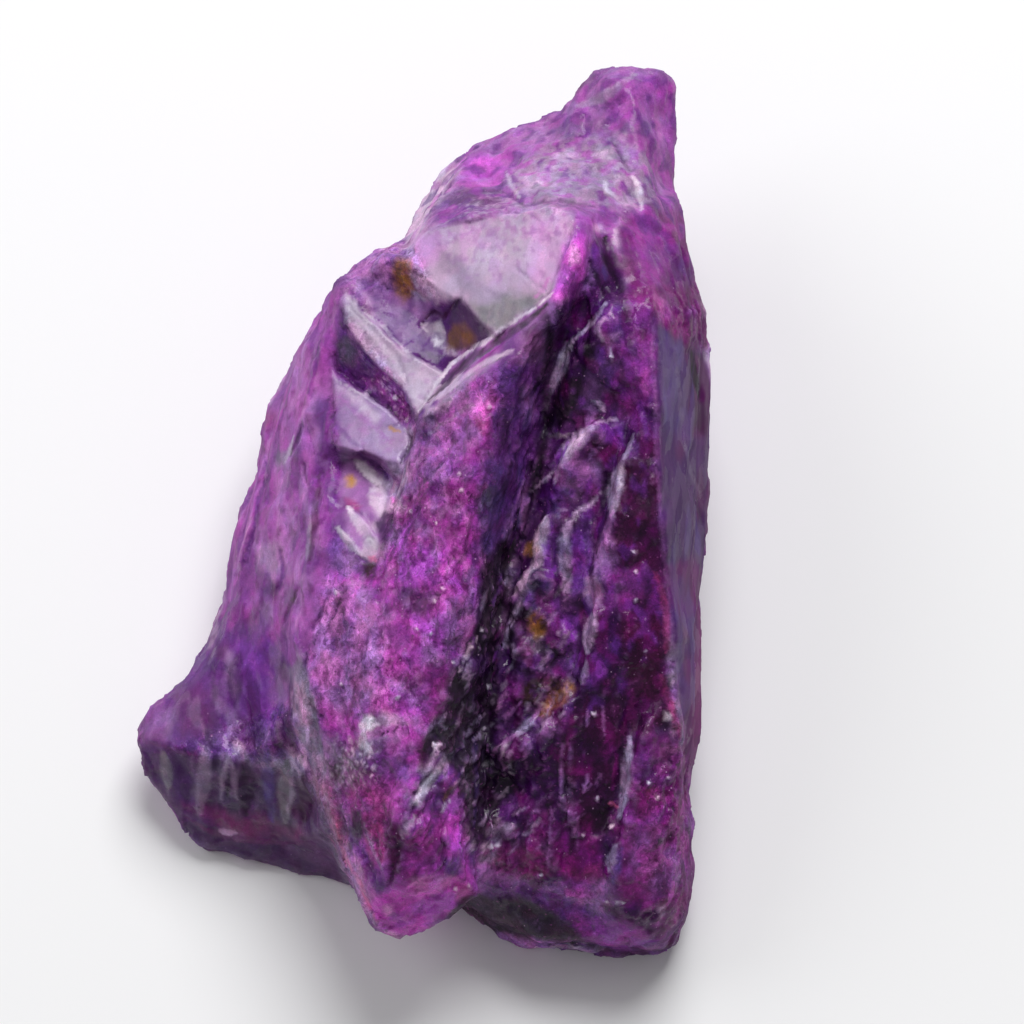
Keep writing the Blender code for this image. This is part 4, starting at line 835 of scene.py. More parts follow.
# Clouds and flecks: name, colour, strength, size in mm, stretch along the stone, share covered, outline.
MOTTLES = [
    ("head magenta", "magenta", 0.55, 1.1, 1.0, 0.42, [(430, 228), (415, 200), (440, 158), (600, 70),
     (676, 80), (690, 260), (640, 240), (560, 200)]),
    ("head violet", "violet", 0.65, 0.9, 1.0, 0.34, [(430, 228), (415, 200), (440, 158), (600, 70),
     (676, 80), (700, 290), (640, 240), (560, 200)]),
    ("band pale", "grey lilac", 0.8, 0.6, 1.6, 0.46, [(506, 198), (520, 156), (560, 140), (610, 134),
     (648, 150), (652, 206), (600, 206), (560, 204), (520, 212)]),
    ("band white", "lilac", 0.85, 0.45, 1.6, 0.26, [(516, 190), (530, 160), (610, 138), (642, 170),
     (646, 204), (600, 200), (560, 198)]),
    ("under band flecks", "lilac", 0.7, 0.32, 1.0, 0.34, [(450, 206), (500, 196), (560, 206),
     (556, 212), (470, 222)]),
    ("window rim flecks", "magenta", 0.4, 0.34, 1.0, 0.4, [(430, 234), (500, 214), (570, 204),
     (576, 240), (556, 240), (500, 234), (440, 246)]),
    ("window clouds", "orchid", 0.35, 1.0, 1.0, 0.4, [(430, 234), (572, 210), (556, 280), (500, 286),
     (440, 266)]),
    ("window flecks", "mauve", 0.4, 0.4, 1.0, 0.26, [(430, 234), (572, 210), (556, 280), (500, 286),
     (440, 270)]),
    ("window green", "ash", 0.4, 0.5, 1.0, 0.4, [(470, 304), (500, 296), (548, 293), (528, 310),
     (496, 336), (480, 322)]),
    ("tread flecks", "mauve", 0.35, 0.4, 1.0, 0.3, [(340, 288), (444, 373), (400, 464), (380, 560),
     (336, 500)]),
    ("block flecks", "violet", 0.6, 0.5, 1.0, 0.4, [(340, 262), (398, 244), (410, 300), (460, 350),
     (440, 370), (350, 300)]),
    ("flank magenta", "magenta", 0.55, 1.8, 1.8, 0.42, [(336, 280), (334, 400), (338, 520), (300, 660),
     (216, 620), (262, 420)]),
    ("flank violet", "violet", 0.55, 1.5, 1.8, 0.36, [(336, 280), (334, 400), (338, 520), (300, 660),
     (216, 620), (262, 420)]),
    ("flank orchid", "orchid", 0.35, 1.2, 1.6, 0.34, [(320, 300), (320, 400), (320, 560), (290, 640),
     (230, 600), (262, 420)]),
    ("flank flecks", "plum", 0.4, 0.5, 1.3, 0.18, [(336, 280), (334, 400), (338, 520), (300, 660),
     (216, 620), (262, 420)]),
    ("lobe plum", "plum", 0.4, 1.2, 2.0, 0.3, [(150, 740), (210, 640), (280, 640), (300, 750)]),
    ("lobe lilac", "lilac", 0.2, 0.8, 2.6, 0.28, [(150, 740), (210, 640), (280, 640), (300, 750)]),
    ("lobe deep", "deep violet", 0.55, 0.9, 3.0, 0.32, [(170, 750), (210, 660), (280, 640),
     (300, 750)]),
    ("lobe front grey", "green grey", 0.3, 1.0, 2.6, 0.42, [(150, 756), (250, 770), (310, 800),
     (300, 830), (180, 810)]),
    ("lobe front dark", "deep violet", 0.35, 0.8, 2.2, 0.34, [(150, 760), (250, 770), (320, 800),
     (346, 890), (200, 840)]),
    ("ridge plum", "plum", 0.55, 0.55, 1.2, 0.36, [(414, 430), (500, 380), (480, 600), (440, 720),
     (400, 850), (340, 800), (306, 620), (380, 560)]),
    ("ridge pale", "orchid", 0.3, 0.8, 1.2, 0.3, [(414, 430), (500, 380), (480, 600), (440, 720),
     (400, 760), (340, 740), (306, 620), (380, 560)]),
    ("ridge violet", "violet", 0.35, 1.4, 1.2, 0.26, [(414, 430), (500, 380), (480, 600), (440, 720),
     (400, 850), (340, 800), (306, 620), (380, 560)]),
    ("right side plum", "plum", 0.6, 2.0, 2.2, 0.34, [(660, 330), (712, 360), (708, 600), (694, 770),
     (672, 640)]),
    ("right side blue", "blue violet", 0.35, 1.6, 2.4, 0.36, [(660, 330), (712, 360), (708, 600),
     (694, 770), (672, 640)]),
    ("plateau plum", "plum magenta", 0.5, 1.0, 1.6, 0.34, [(560, 320), (650, 300), (672, 740),
     (610, 880), (500, 868), (520, 600), (560, 430)]),
    ("plateau violet", "bright violet", 0.35, 0.7, 1.8, 0.26, [(560, 320), (650, 300), (660, 640),
     (600, 720), (520, 740), (520, 600), (560, 430)]),
    ("plateau dark", "near black", 0.5, 0.6, 2.0, 0.24, [(560, 320), (650, 300), (672, 740), (610, 880),
     (500, 868), (520, 600), (560, 430)]),
    ("lump magenta", "magenta", 0.5, 0.9, 1.0, 0.36, [(628, 740), (684, 740), (696, 850), (668, 940),
     (616, 880)]),
    ("lump plum", "wine", 0.5, 0.7, 1.0, 0.3, [(628, 740), (684, 740), (696, 850), (668, 940),
     (616, 880)]),
    ("glitter flecks", "pale grey", 0.7, 0.24, 1.0, 0.3, [(342, 736), (380, 738), (374, 776),
     (344, 790), (324, 762)]),
    ("glitter dark", "charcoal", 0.6, 0.3, 1.0, 0.34, [(342, 742), (384, 744), (374, 780), (344, 796),
     (320, 764)]),
    ("riser glow", "magenta", 0.6, 0.45, 1.0, 0.44, [(364, 372), (404, 388), (413, 424), (388, 409)]),
    ("riser deep", "deep violet", 0.6, 0.5, 1.0, 0.4, [(366, 372), (404, 388), (413, 424), (388, 407)]),
    ("riser sparks", "pale pink", 0.9, 0.2, 1.0, 0.24, [(364, 374), (404, 390), (413, 424),
     (388, 409)]),
    ("spur flecks", "hot pink", 0.5, 0.35, 1.2, 0.2, [(380, 904), (420, 876), (478, 893), (440, 916),
     (400, 936)]),
    ("spur deep", "plum", 0.5, 0.6, 1.4, 0.34, [(356, 800), (440, 770), (462, 860), (400, 890),
     (366, 870)]),
]

# Corners and edges that the solid rounds off or has too far in: name, place, reach and shift in pixels,
# least and most height in mm. The front foot moves the most, nearly 2 mm.
NUDGES = [
    ("tip", (672, 74), 34, (13, -9), 0.0, 30.0),
    ("tip left", (604, 80), 26, (-6, -4), 0.0, 30.0),
    ("left edge", (232, 575), 70, (-8, 0), 0.0, 30.0),
    ("left edge high", (256, 475), 50, (-5, 0), 0.0, 30.0),
    ("lobe corner", (146, 748), 44, (-15, 2), 0.0, 30.0),
    ("lobe foot", (190, 830), 60, (-8, 6), 0.0, 30.0),
    ("front foot", (525, 925), 62, (0, 30), 0.0, 5.0),
    ("right foot", (660, 944), 48, (8, 8), 0.0, 30.0),
    ("spur tip", (400, 935), 30, (0, 5), 0.0, 30.0),
]
NUDGE_EASE = 2.0

# Slanted hackle: its slant from across in degrees, its depth in mm, its noise, and its places.
COMB_SLANT = 55.0
COMB_DEPTH = 0.30
COMB_NOISE = (0.40, 71.0, (1.0, 6.0, 1.0))
COMB_SOFT = 14.0
COMBED_PLACES = [
    [(520, 330), (550, 320), (548, 430), (540, 520), (560, 600), (570, 720), (560, 880), (470, 880),
     (430, 780), (470, 650), (490, 540), (512, 440)],
    [(360, 800), (400, 810), (420, 760), (460, 770), (470, 870), (400, 890), (360, 850)],
]

# Clouds, blots, grains and streaks of the dye: size in mm, shift of the noise, stretch along the stone.
DYE_NOISES = [
    (5.0, 1.3, (1.0, 1.8, 1.0)),
    (2.2, 5.1, (1.0, 1.6, 1.0)),
    (0.8, 8.4, (1.0, 1.0, 1.0)),
    (1.0, 2.7, (1.0, 6.0, 1.0)),
]

# Noises that break up lines and the colours over the clouds: size in mm and shift.
BROKEN_NOISE = (0.7, 61.0)
GRAINY_NOISE = (0.22, 71.0)

# The noise's range from nothing covered to all covered, and the soft edge of a fleck in it.
MOTTLE_RANGE = 1.1
MOTTLE_EDGE = 0.1

# Softness in pixels of a mottled area, the noise's shift from one to the next, and the least mask used.
MOTTLE_SOFT = 8.0
MOTTLE_STEP = 13.7
LEAST_MASK = 0.01

# Colours that lie over the clouds.
ON_TOP = ("ochre", "gold", "brown", "rust")

# The rise in mm from which a ledge has a painted shadow at its foot, and how dark that painted shadow is.
SHADED_RISE = 0.15
FOOT_SHADOW_STRENGTH = 0.6

# How much of the full wander the outline of a crisp patch and a line have.
CRISP_WANDER = 0.16
LINE_WANDER = 0.22

# Width of a line at its ends, as a share of its width half way.
TAPER = 0.4

# In widths of a line: its soft edges, those of a crack, and how far a ledge falls off behind it
# and past its ends.
LINE_EDGE = (0.34, 0.66)
CRACK_EDGE = (0.2, 0.9)
LEDGE_FALL = 3.6
LEDGE_END = 0.8

# How far a face turns up or down out of the sides, from fully satin to fully glossy, as a share.
SATIN_TURN = (0.15, 0.6)

# Creases and edges: rounds of smoothing that they are told by, and the depth in mm that counts as 1.
HOLLOW_ROUNDS = 2
HOLLOW_DEPTH = 0.1

# Noise of the roughness as size in mm and shift, and softness of a place's edge in pixels.
ROUGH_NOISE = (4.0, 21.0)
ROUGH_SOFT = 5.0

# How rough the skin is, from glassy at 0 to sugary at 1: name, roughness and outline in the photograph.
ROUGH_PLACES = [
    ("head", 0.4, [(400, 250), (412, 190), (450, 150), (600, 66), (690, 70), (700, 300), (620, 300),
     (560, 215)]),
    ("flank", 0.3, [(330, 270), (345, 310), (330, 400), (336, 520), (310, 640), (290, 700), (140, 760),
     (140, 690), (220, 600), (250, 420)]),
    ("lobe front", 0.35, [(140, 750), (250, 762), (310, 790), (350, 890), (240, 870), (150, 800)]),
    ("groove", 0.65, [(520, 330), (552, 310), (550, 430), (530, 520), (505, 600), (500, 850),
     (480, 852), (430, 770), (470, 640), (500, 500)]),
    ("plateau", 0.7, [(560, 306), (620, 290), (656, 320), (672, 740), (610, 880), (500, 868),
     (500, 600), (548, 430)]),
    ("window", 0.08, [(412, 236), (462, 221), (574, 212), (556, 292), (496, 336), (440, 300)]),
    ("notch floor", 0.2, [(360, 290), (400, 296), (450, 296), (492, 336), (462, 352), (441, 373),
     (410, 356), (372, 316)]),
    ("second tread", 0.05, [(346, 291), (358, 306), (413, 356), (444, 373), (430, 396), (416, 412),
     (385, 361), (347, 310)]),
    ("third tread", 0.08, [(332, 371), (396, 412), (411, 432), (408, 452), (398, 466), (338, 460)]),
    ("fourth tread", 0.08, [(345, 458), (362, 456), (386, 480), (390, 500), (382, 542), (368, 564),
     (334, 530), (338, 480)]),
    ("wall", 0.15, [(552, 290), (520, 312), (470, 345), (436, 376), (418, 412), (436, 410), (462, 384),
     (514, 356), (552, 316)]),
    ("right side", 0.04, [(656, 322), (712, 360), (712, 560), (700, 770), (690, 772), (672, 640),
     (660, 500)]),
    ("spur end", 0.6, [(370, 900), (420, 876), (478, 890), (440, 920), (400, 940)]),
]

# How far the material's facets and grains stray, in mm, and the stretch of facets and of streaks.
WARP_REACH = 0.7
FACET_STRETCH = (1.0, 0.42, 1.0)
STREAK_STRETCH = (1.0, 0.12, 1.0)

# How many facets, sugary grains and painted glint specks lie on a mm, and bends of the noise that warps
# them.
FACET_SCALE = 1.15
SUGAR_SCALE = 4.6
GLINT_SPECK_SCALE = 2.4
WARP_SCALE = 1.4

# Noises of the material: size in mm and detail.
CLOUD_NOISE = (1.2, 5.0)
STREAK_NOISE = (0.50, 3.0)
DUST_NOISE = (0.10, 2.0)
HUE_NOISE = (1.8, 3.0)

# Shades as the range of a noise, where it has one, and the range that it is turned into.
CLOUD_SHADES = (0.32, 0.68, 0.76, 1.26)
FACET_SHADES = (0.82, 1.20)
STREAK_SHADES = (0.3, 0.7, 0.92, 1.08)
DUST_SHADES = (0.3, 0.7, 0.78, 1.24)
HUES = (0.42, 0.70, 0.0, 1.0)
WARM = (1.18, 0.84, 1.0, 1.0)
COOL = (0.84, 0.88, 1.02, 1.0)

# What the sugary grains add to the shades, and what the facets add to the hue.
SUGAR_SHADE = 0.45
FACET_HUE = 0.12

# How much of the shades shows, from glassy to sugary skin.
SHADED = (0.25, 1.0)

# The edges of grains and of the painted glint specks.
DOT_EDGE = (0.20, 0.42, 1.0, 0.0)
GLINT_SPECK_EDGE = (0.07, 0.17, 1.0, 0.0)

# Which grains are bright or dark and which painted glint specks show, by their random number, and how
# strongly.
BRIGHT_ABOVE = 0.90
BRIGHT_STRENGTH = 0.25
DARK_BELOW = 0.14
DARK_STRENGTH = 0.5
GLINT_SPECKS_ABOVE = 0.84
GLINT_SPECK_STRENGTH = 0.6

# Refraction, specular level, roughness from the shiniest facet to the dullest, and what satin adds to it.
REFRACTION = 1.5
GLOSS = 0.24
FACET_ROUGHNESS = (0.20, 0.46)
SATIN_ROUGHNESS = 0.38

# Bump in mm, what clouds and streaks add to it, its strength, and how far facets and grains lean,
# from glassy to sugary skin.
BUMP_DEPTH = 0.15
CLOUD_HEIGHT = 0.6
STREAK_HEIGHT = 0.2
BUMP_STRENGTH = (0.15, 0.85)
FACET_LEAN = (0.05, 0.26)
SUGAR_LEAN = 0.28

# How far a place turns towards the photograph, from not shaped or painted by its tables to fully so.
SHAPED_TURN = (-0.05, 0.15)
PAINTED_TURN = (-0.15, 0.05)

# How far outlines stray in pixels, size in mm and shift of its noises, and the share that shapes have.
SHARP_STRAY = 4.0
SHARP_NOISES = [(0.9, 51.0), (0.9, 57.0)]
SHAPE_SHARE = 0.4

# How far colours stray, coarse and fine: reach in pixels, and size in mm, shift and stretch of the noise.
STRAYS_ACROSS = [(7.0, (1.1, 31.0, (1.0, 1.6, 1.0))), (4.0, (0.45, 33.0))]
STRAYS_ALONG = [(9.0, (1.1, 37.0, (1.0, 1.6, 1.0))), (5.0, (0.45, 39.0))]

# The floor's colour in linear light and its reach in metres.
FLOOR_COLOUR = (0.91, 0.91, 0.92, 1.0)
FLOOR_REACH = 1.5

# Soft lights: name, place and width in metres, power in watts.
LIGHTS = [
    ("key", (0.10, 0.42, 0.52), 0.42, 4.12),
    ("left window", (-0.55, 0.25, 0.50), 0.60, 1.6),
]
ROOM_LIGHT = 0.25


def linear(name):
    """A palette colour in linear light, less the light that the skin mirrors."""
    levels = np.array(PALETTE[name]) / 255.0
    seen = np.where(levels <= 0.04045, levels / 12.92, ((levels + 0.055) / 1.055) ** 2.4)
    return np.maximum(seen - MIRROR_SHARE, DARKEST) / LIGHT_SHARE


def rise(values, low, high):
    """Runs smoothly from 0 at low to 1 at high."""
    share = np.clip((values - low) / (high - low), 0.0, 1.0)
    return share * share * (3.0 - 2.0 * share)


def face_matrix():
    """From the face frame in mm to the row frame in metres."""
    tilt = Matrix.Rotation(math.radians(FACE_TILT), 4, "X")
    place = Matrix.Translation(Vector((FACE_ACROSS, FACE_ALONG, FACE_HEIGHT)))
    return Matrix.Scale(MM, 4) @ place @ tilt


def noise_field(places, size, shift=0.0, stretch=(1.0, 1.0, 1.0)):
    """Noise at each place, from about -1 to 1, with lumps of about the given size in mm."""
    scaled = places / (np.array(stretch) * size) + shift
    return np.array([noise.noise(Vector(p)) for p in scaled])


def segment_distance(x, y, start, end):
    """Distance of each pixel place to a straight stretch."""
    across, along = end[0] - start[0], end[1] - start[1]
    length = across * across + along * along
    share = np.clip(((x - start[0]) * across + (y - start[1]) * along) / length, 0.0, 1.0)
    return np.hypot(x - start[0] - share * across, y - start[1] - share * along)


def patch_mask(x, y, points, soft):
    """1 inside an outline, 0 outside it, soft at its edge."""
    inside = np.zeros(len(x), bool)
    nearest = np.full(len(x), 1e9)
    for start, end in zip(points, points[1:] + points[:1]):
        nearest = np.minimum(nearest, segment_distance(x, y, start, end))
        if start[1] != end[1]:
            crossing = start[0] + (y - start[1]) * (end[0] - start[0]) / (end[1] - start[1])
            inside ^= ((start[1] > y) != (end[1] > y)) & (x < crossing)
    return rise(np.where(inside, nearest, -nearest), -soft, soft)


def route_distance(x, y, points):
    """Distance to a route, its side, how far past its ends a place lies, and the share of it behind."""
    nearest = np.full(len(x), 1e9)
    side = np.ones(len(x))
    past = np.zeros(len(x))
    place = np.zeros(len(x))
    passed = 0.0
    last = len(points) - 2
    for number, (start, end) in enumerate(zip(points, points[1:])):
        across, along = end[0] - start[0], end[1] - start[1]
        length = math.hypot(across, along)
        distance = segment_distance(x, y, start, end)
        turn = along * (x - start[0]) - across * (y - start[1])
        run = ((x - start[0]) * across + (y - start[1]) * along) / length
        before = np.maximum(-run, 0.0) if number == 0 else 0.0
        after = np.maximum(run - length, 0.0) if number == last else 0.0
        closer = distance < nearest
        side = np.where(closer, np.sign(turn), side)
        past = np.where(closer, before + after, past)
        place = np.where(closer, passed + np.clip(run, 0.0, length), place)
        nearest = np.minimum(nearest, distance)
        passed += length
    return nearest, side, past, place / passed


def line_mask(x, y, points, width):
    """1 on a route, 0 away from it, thinner towards its ends."""
    nearest, _, _, share = route_distance(x, y, points)
    wide = width * (TAPER + (1.0 - TAPER) * np.sin(math.pi * share))
    return 1.0 - rise(nearest / wide, *LINE_EDGE)


def spot_mask(x, y, place, width):
    """1 on a small round spot, such as a painted glint, 0 away from it."""
    return 1.0 - rise(np.hypot(x - place[0], y - place[1]) / width, *LINE_EDGE)


def ledge_profile(x, y, points, width, height):
    """A broken edge along a route: a sloping band, low on its left, then a long fall. A crack is even."""
    nearest, side, past, _ = route_distance(x, y, points)
    if height < 0.0:
        return height * (1.0 - rise(nearest / width, *CRACK_EDGE))
    offset = side * nearest / width
    band = rise(offset, -0.5, 0.5)
    fall = np.exp(-(np.maximum(offset - 0.5, 0.0) / LEDGE_FALL) ** 2)
    return height * band * fall * np.exp(-(past / (LEDGE_END * width)) ** 2)


class Skin:
    """The fine mesh of the stone as arrays: places in the row and the face frame, and directions."""

    def __init__(self, mesh):
        self.mesh = mesh
        count = len(mesh.vertices)
        self.row = np.empty(count * 3)
        mesh.vertices.foreach_get("co", self.row)
        self.row = self.row.reshape(-1, 3)
        self.edges = np.empty(len(mesh.edges) * 2, np.int64)
        mesh.edges.foreach_get("vertices", self.edges)
        self.edges = self.edges.reshape(-1, 2)
        self.measure()

    def measure(self):
        """The places in the face frame, and the directions out of the skin in both frames."""
        to_face = np.array(face_matrix().inverted())
        self.turn = to_face[:3, :3] * MM
        self.face = self.row @ to_face[:3, :3].T + to_face[:3, 3]
        self.mesh.update()
        self.out = np.empty(len(self.row) * 3)
        self.mesh.vertex_normals.foreach_get("vector", self.out)
        self.out = self.out.reshape(-1, 3)
        self.look = self.out @ self.turn.T

    def average(self, values):
        """Each point's value replaced by the mean over its neighbours."""
        total = np.zeros_like(values)
        count = np.zeros(len(self.row))
        for here, there in ((0, 1), (1, 0)):
            np.add.at(total, self.edges[:, here], values[self.edges[:, there]])
            np.add.at(count, self.edges[:, here], 1.0)
        return total / (count[:, None] if values.ndim == 2 else count)

    def place(self):
        """Writes the places back to the mesh, none below the floor, and measures again."""
        self.row[:, 2] = np.maximum(self.row[:, 2], 0.0)
        self.mesh.vertices.foreach_set("co", self.row.ravel())
        self.measure()

    def photo_places(self):
        """Where each point shows in the photograph, in pixels."""
        scale = PIXELS_PER_MM * CAMERA_DISTANCE / (CAMERA_DISTANCE - self.face[:, 2])
        return PHOTO_MIDDLE + scale * self.face[:, 0], PHOTO_MIDDLE - scale * self.face[:, 1]

    def hollowness(self, rounds):
        """Above 0 in creases and below 0 on edges, about -1 to 1."""
        smooth = self.row.copy()
        for _ in range(rounds):
            smooth = self.average(smooth)
        return ((smooth - self.row) * self.out).sum(1) / (HOLLOW_DEPTH * MM)


def apply_modifiers(stone):
    """Keeps the mesh that the modifiers make, and drops them."""
    graph = bpy.context.evaluated_depsgraph_get()
    shown = bpy.data.meshes.new_from_object(stone.evaluated_get(graph))
    stone.modifiers.clear()
    stone.data = shown


def thin_hidden_sides(stone):
    """Keeps the fine grain where the photograph looks and fewer triangles elsewhere."""
    skin = Skin(stone.data)
    hidden = 1.0 - rise(skin.look[:, 2], *HIDDEN_TURN)
    group = stone.vertex_groups.new(name="hidden")
    for level in range(HIDDEN_LEVELS):
        low, high = level / HIDDEN_LEVELS, (level + 1) / HIDDEN_LEVELS
        chosen = np.flatnonzero((hidden > low) & (hidden <= high))
        group.add(chosen.tolist(), high, "REPLACE")
    fewer = stone.modifiers.new("fewer", "DECIMATE")
    fewer.ratio = MOST_TRIANGLES / sum(len(face.vertices) - 2 for face in stone.data.polygons)
    fewer.vertex_group = "hidden"
    fewer.use_collapse_triangulate = True
    apply_modifiers(stone)
    stone.vertex_groups.clear()


def fine_mesh(node):
    """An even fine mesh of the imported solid."""
    made = bpy.data.objects.new("rough_crystal_skin", node.data.copy())
    bpy.context.scene.collection.objects.link(made)
    even = made.modifiers.new("even", "REMESH")
    even.mode = "VOXEL"
    even.voxel_size = GRAIN * MM
    apply_modifiers(made)
    return made


def nudge(skin):
    """Moves corners of the stone across the photograph, each within its reach and range of height."""
    x, y = skin.photo_places()
    moved = np.zeros_like(skin.face)
    for _, place, reach, shift, low, high in NUDGES:
        near = np.exp(-((x - place[0]) ** 2 + (y - place[1]) ** 2) / reach**2)
        height = skin.row[:, 2] / MM
        near *= rise(height, low - NUDGE_EASE, low) * (1.0 - rise(height, high, high + NUDGE_EASE))
        moved[:, 0] += near * shift[0] / PIXELS_PER_MM
        moved[:, 1] -= near * shift[1] / PIXELS_PER_MM
    turned = moved @ skin.turn * MM
    skin.row[:, :2] += turned[:, :2]
    skin.place()


def facet_relief(places, chance, spacing, tilt, depth, stretch):
    """Small flat facets, each tilted its own way, as broken corundum has. In mm."""
    drawn = places / np.array(stretch)
    low, high = drawn.min(0), drawn.max(0)
    count = int(np.prod(high - low) / spacing**3)
    tree = kdtree.KDTree(count)
    tilts = np.empty((count, 3))
    for i in range(count):
        tree.insert([chance.uniform(a, b) for a, b in zip(low, high)], i)
        tilts[i] = [chance.gauss(0.0, tilt) for _ in range(3)]
    tree.balance()
    made = np.empty(len(drawn))
    cell = np.empty(len(drawn), np.int64)
    for i, at in enumerate(drawn):
        centre, number, _ = tree.find(at)
        made[i] = tilts[number] @ (at - np.array(centre))
        cell[i] = number
    return np.clip(made, -depth, depth), cell


def flatten_breaks(skin, x, y):
    """Lays each clean break on the plane that fits it best, lifted or sunk a little."""
    table = np.column_stack([skin.face[:, 0], skin.face[:, 1], np.ones(len(x))])
    for _, lift, outline in FLATS:
        mask = rise(skin.look[:, 2], *FLAT_TURN) * patch_mask(x, y, outline, FLAT_SOFT)
        chosen = mask > 0.5
        for _ in range(FLAT_FITS):
            plane = np.linalg.lstsq(table[chosen], skin.face[chosen, 2], rcond=None)[0]
            apart = table @ plane - skin.face[:, 2]
            chosen = (mask > 0.5) & (np.abs(apart) < FLAT_REACH[0])
        moved = mask * (apart + lift) * (1.0 - rise(np.abs(apart), *FLAT_REACH))
        skin.face[:, 2] += moved
        skin.row += np.outer(moved, skin.turn[2]) * MM
    skin.place()


def make_splinters():
    """The lines of the splinters, in the form of LINES."""
    chance = random.Random(SPLINTER_SEED)
    made = []
    for outline, count, slants, lengths, widths, height, colours in SPLINTERS:
        across = [point[0] for point in outline]
        along = [point[1] for point in outline]
        while count:
            x = chance.uniform(min(across), max(across))
            y = chance.uniform(min(along), max(along))
            slant = math.radians(chance.uniform(*slants))
            length = chance.uniform(*lengths)
            if patch_mask(np.array([x]), np.array([y]), outline, 1.0)[0] > 0.5:
                end = (x + length * math.cos(slant), y - length * math.sin(slant))
                colour = chance.choice(colours)
                strength = chance.uniform(*SPLINTER_STRENGTH)
                width = chance.uniform(*widths)
                made.append(("splinter", colour, strength, width, height, [(x, y), end]))
                count -= 1
    return made


def comb_relief(skin, front, x, y):
    """Slanted hackle down the groove and over the low side of the face."""
    slant = math.radians(COMB_SLANT)
    turned = skin.face.copy()
    turned[:, 0] = skin.face[:, 0] * math.sin(slant) - skin.face[:, 1] * math.cos(slant)
    turned[:, 1] = skin.face[:, 0] * math.cos(slant) + skin.face[:, 1] * math.sin(slant)
    made = noise_field(turned, *COMB_NOISE)
    where = np.zeros(len(x))
    for outline in COMBED_PLACES:
        where = np.maximum(where, patch_mask(x, y, outline, COMB_SOFT))
    return COMB_DEPTH * front * where * np.abs(made)


def shape_skin(skin, front, x, y):
    """Softens the flat triangles, then cuts facets, striations, ledges and cracks into the skin."""
    chance = random.Random(FACET_SEED)
    flat = skin.row[:, 2] < REST_SKIN * MM
    for _ in range(SOFTENING):
        for share in (EASE, REGROW):
            eased = skin.row + share * (skin.average(skin.row) - skin.row)
            skin.row = np.where(flat[:, None], skin.row, eased)
    rough = roughness_of(skin, front, x, y)
    for _ in range(GLASS_SOFTENING):
        glassy = (1.0 - rise(rough, *GLASSY))[:, None]
        skin.row += glassy * (skin.average(skin.row) - skin.row)
    skin.place()
    flatten_breaks(skin, x, y)
    facets, _ = facet_relief(skin.face, chance, *FACETS)
    chips, _ = facet_relief(skin.face, chance, *CHIPS)
    relief = (GLASSY_FACETS + (1.0 - GLASSY_FACETS) * rough) * facets
    relief += (GLASSY_CHIPS + (1.0 - GLASSY_CHIPS) * rough) * chips
    for depth, size, shift, stretch in RIPPLES:
        relief += depth * rough * noise_field(skin.face, size, shift, stretch)
    relief += comb_relief(skin, front, x, y)
    for _, _, _, width, height, route in LINES + make_splinters():
        relief += front * ledge_profile(x, y, route, width, height)
    for at_x, at_y, width in GLINTS:
        relief += GLINT_RISE * front * spot_mask(x, y, (at_x, at_y), max(width, LEAST_GLINT))
    relief *= 0.5 + 0.5 * rise(np.abs(skin.look[:, 2]), *EDGE_ON)
    relief = np.where(flat, 0.0, relief)
    skin.row += skin.out * relief[:, None] * MM
    skin.place()


def roughness_of(skin, front, x, y):
    """1 where the skin is sugary, down to 0 on glassy breaks."""
    rough = 0.7 + 0.3 * rise(noise_field(skin.face, *ROUGH_NOISE), -0.3, 0.3)
    for _, value, outline in ROUGH_PLACES:
        rough += front * patch_mask(x, y, outline, ROUGH_SOFT) * (value - rough)
    return rough


def paint(colours, mask, name):
    colours += mask[:, None] * (linear(name) - colours)


def wandered(x, y, wander, soft):
    """Photo places with the ragged edge of a soft patch, or the straighter one of a crisp patch."""
    share = min(1.0, max(CRISP_WANDER, soft / 8.0 - 0.1))
    return x + share * wander[0], y + share * wander[1]


def paint_all_round(skin, colours):
    """The dye on every side: violet and mauve clouds, magenta and dark blots, and pale flat breaks."""
    clouds, blots, grains, streaks = (noise_field(skin.face, *kind) for kind in DYE_NOISES)
    _, cell = facet_relief(skin.face, random.Random(BREAK_SEED), *BREAKS)
    shades = np.random.default_rng(SHADE_SEED).random(cell.max() + 1)[cell]
    colours[:] = linear("violet")
    paint(colours, rise(clouds + 0.4 * grains, -0.35, 0.35), "mauve")
    paint(colours, 0.8 * rise(blots + 0.3 * grains, 0.15, 0.5), "magenta")
    paint(colours, 0.8 * rise(-blots + 0.3 * grains, 0.2, 0.55), "deep violet")
    paint(colours, 0.75 * (shades > 0.84) * rise(grains, -0.5, 0.2), "pale grey")
    paint(colours, 0.7 * (shades < 0.16) * rise(grains, -0.6, 0.1), "slate")
    paint(colours, 0.45 * rise(streaks, 0.1, 0.5), "light mauve")
    paint(colours, 0.45 * rise(-streaks, 0.15, 0.5), "plum")


def paint_patches(colours, front, x, y, wander, chosen):
    """Paints the patches of the chosen colours, each with its own softness."""
    for _, colour, strength, soft, outline in PATCHES:
        if colour in chosen:
            mask = patch_mask(*wandered(x, y, wander, soft), outline, soft)
            paint(colours, strength * front * mask, colour)


def paint_mottles(skin, colours, front, x, y, wander):
    """Clouds and flecks, each within its own outline."""
    at_x, at_y = wandered(x, y, wander, MOTTLE_SOFT)
    for number, (_, colour, strength, size, stretch, share, outline) in enumerate(MOTTLES):
        mask = strength * front * patch_mask(at_x, at_y, outline, MOTTLE_SOFT)
        chosen = np.flatnonzero(mask > LEAST_MASK)
        level = MOTTLE_RANGE * (0.5 - share)
        shift = MOTTLE_STEP * number + 0.5
        flecks = noise_field(skin.face[chosen], size, shift, (1.0, stretch, 1.0))
        mask[chosen] *= rise(flecks, level - MOTTLE_EDGE, level + MOTTLE_EDGE)
        paint(colours, mask, colour)


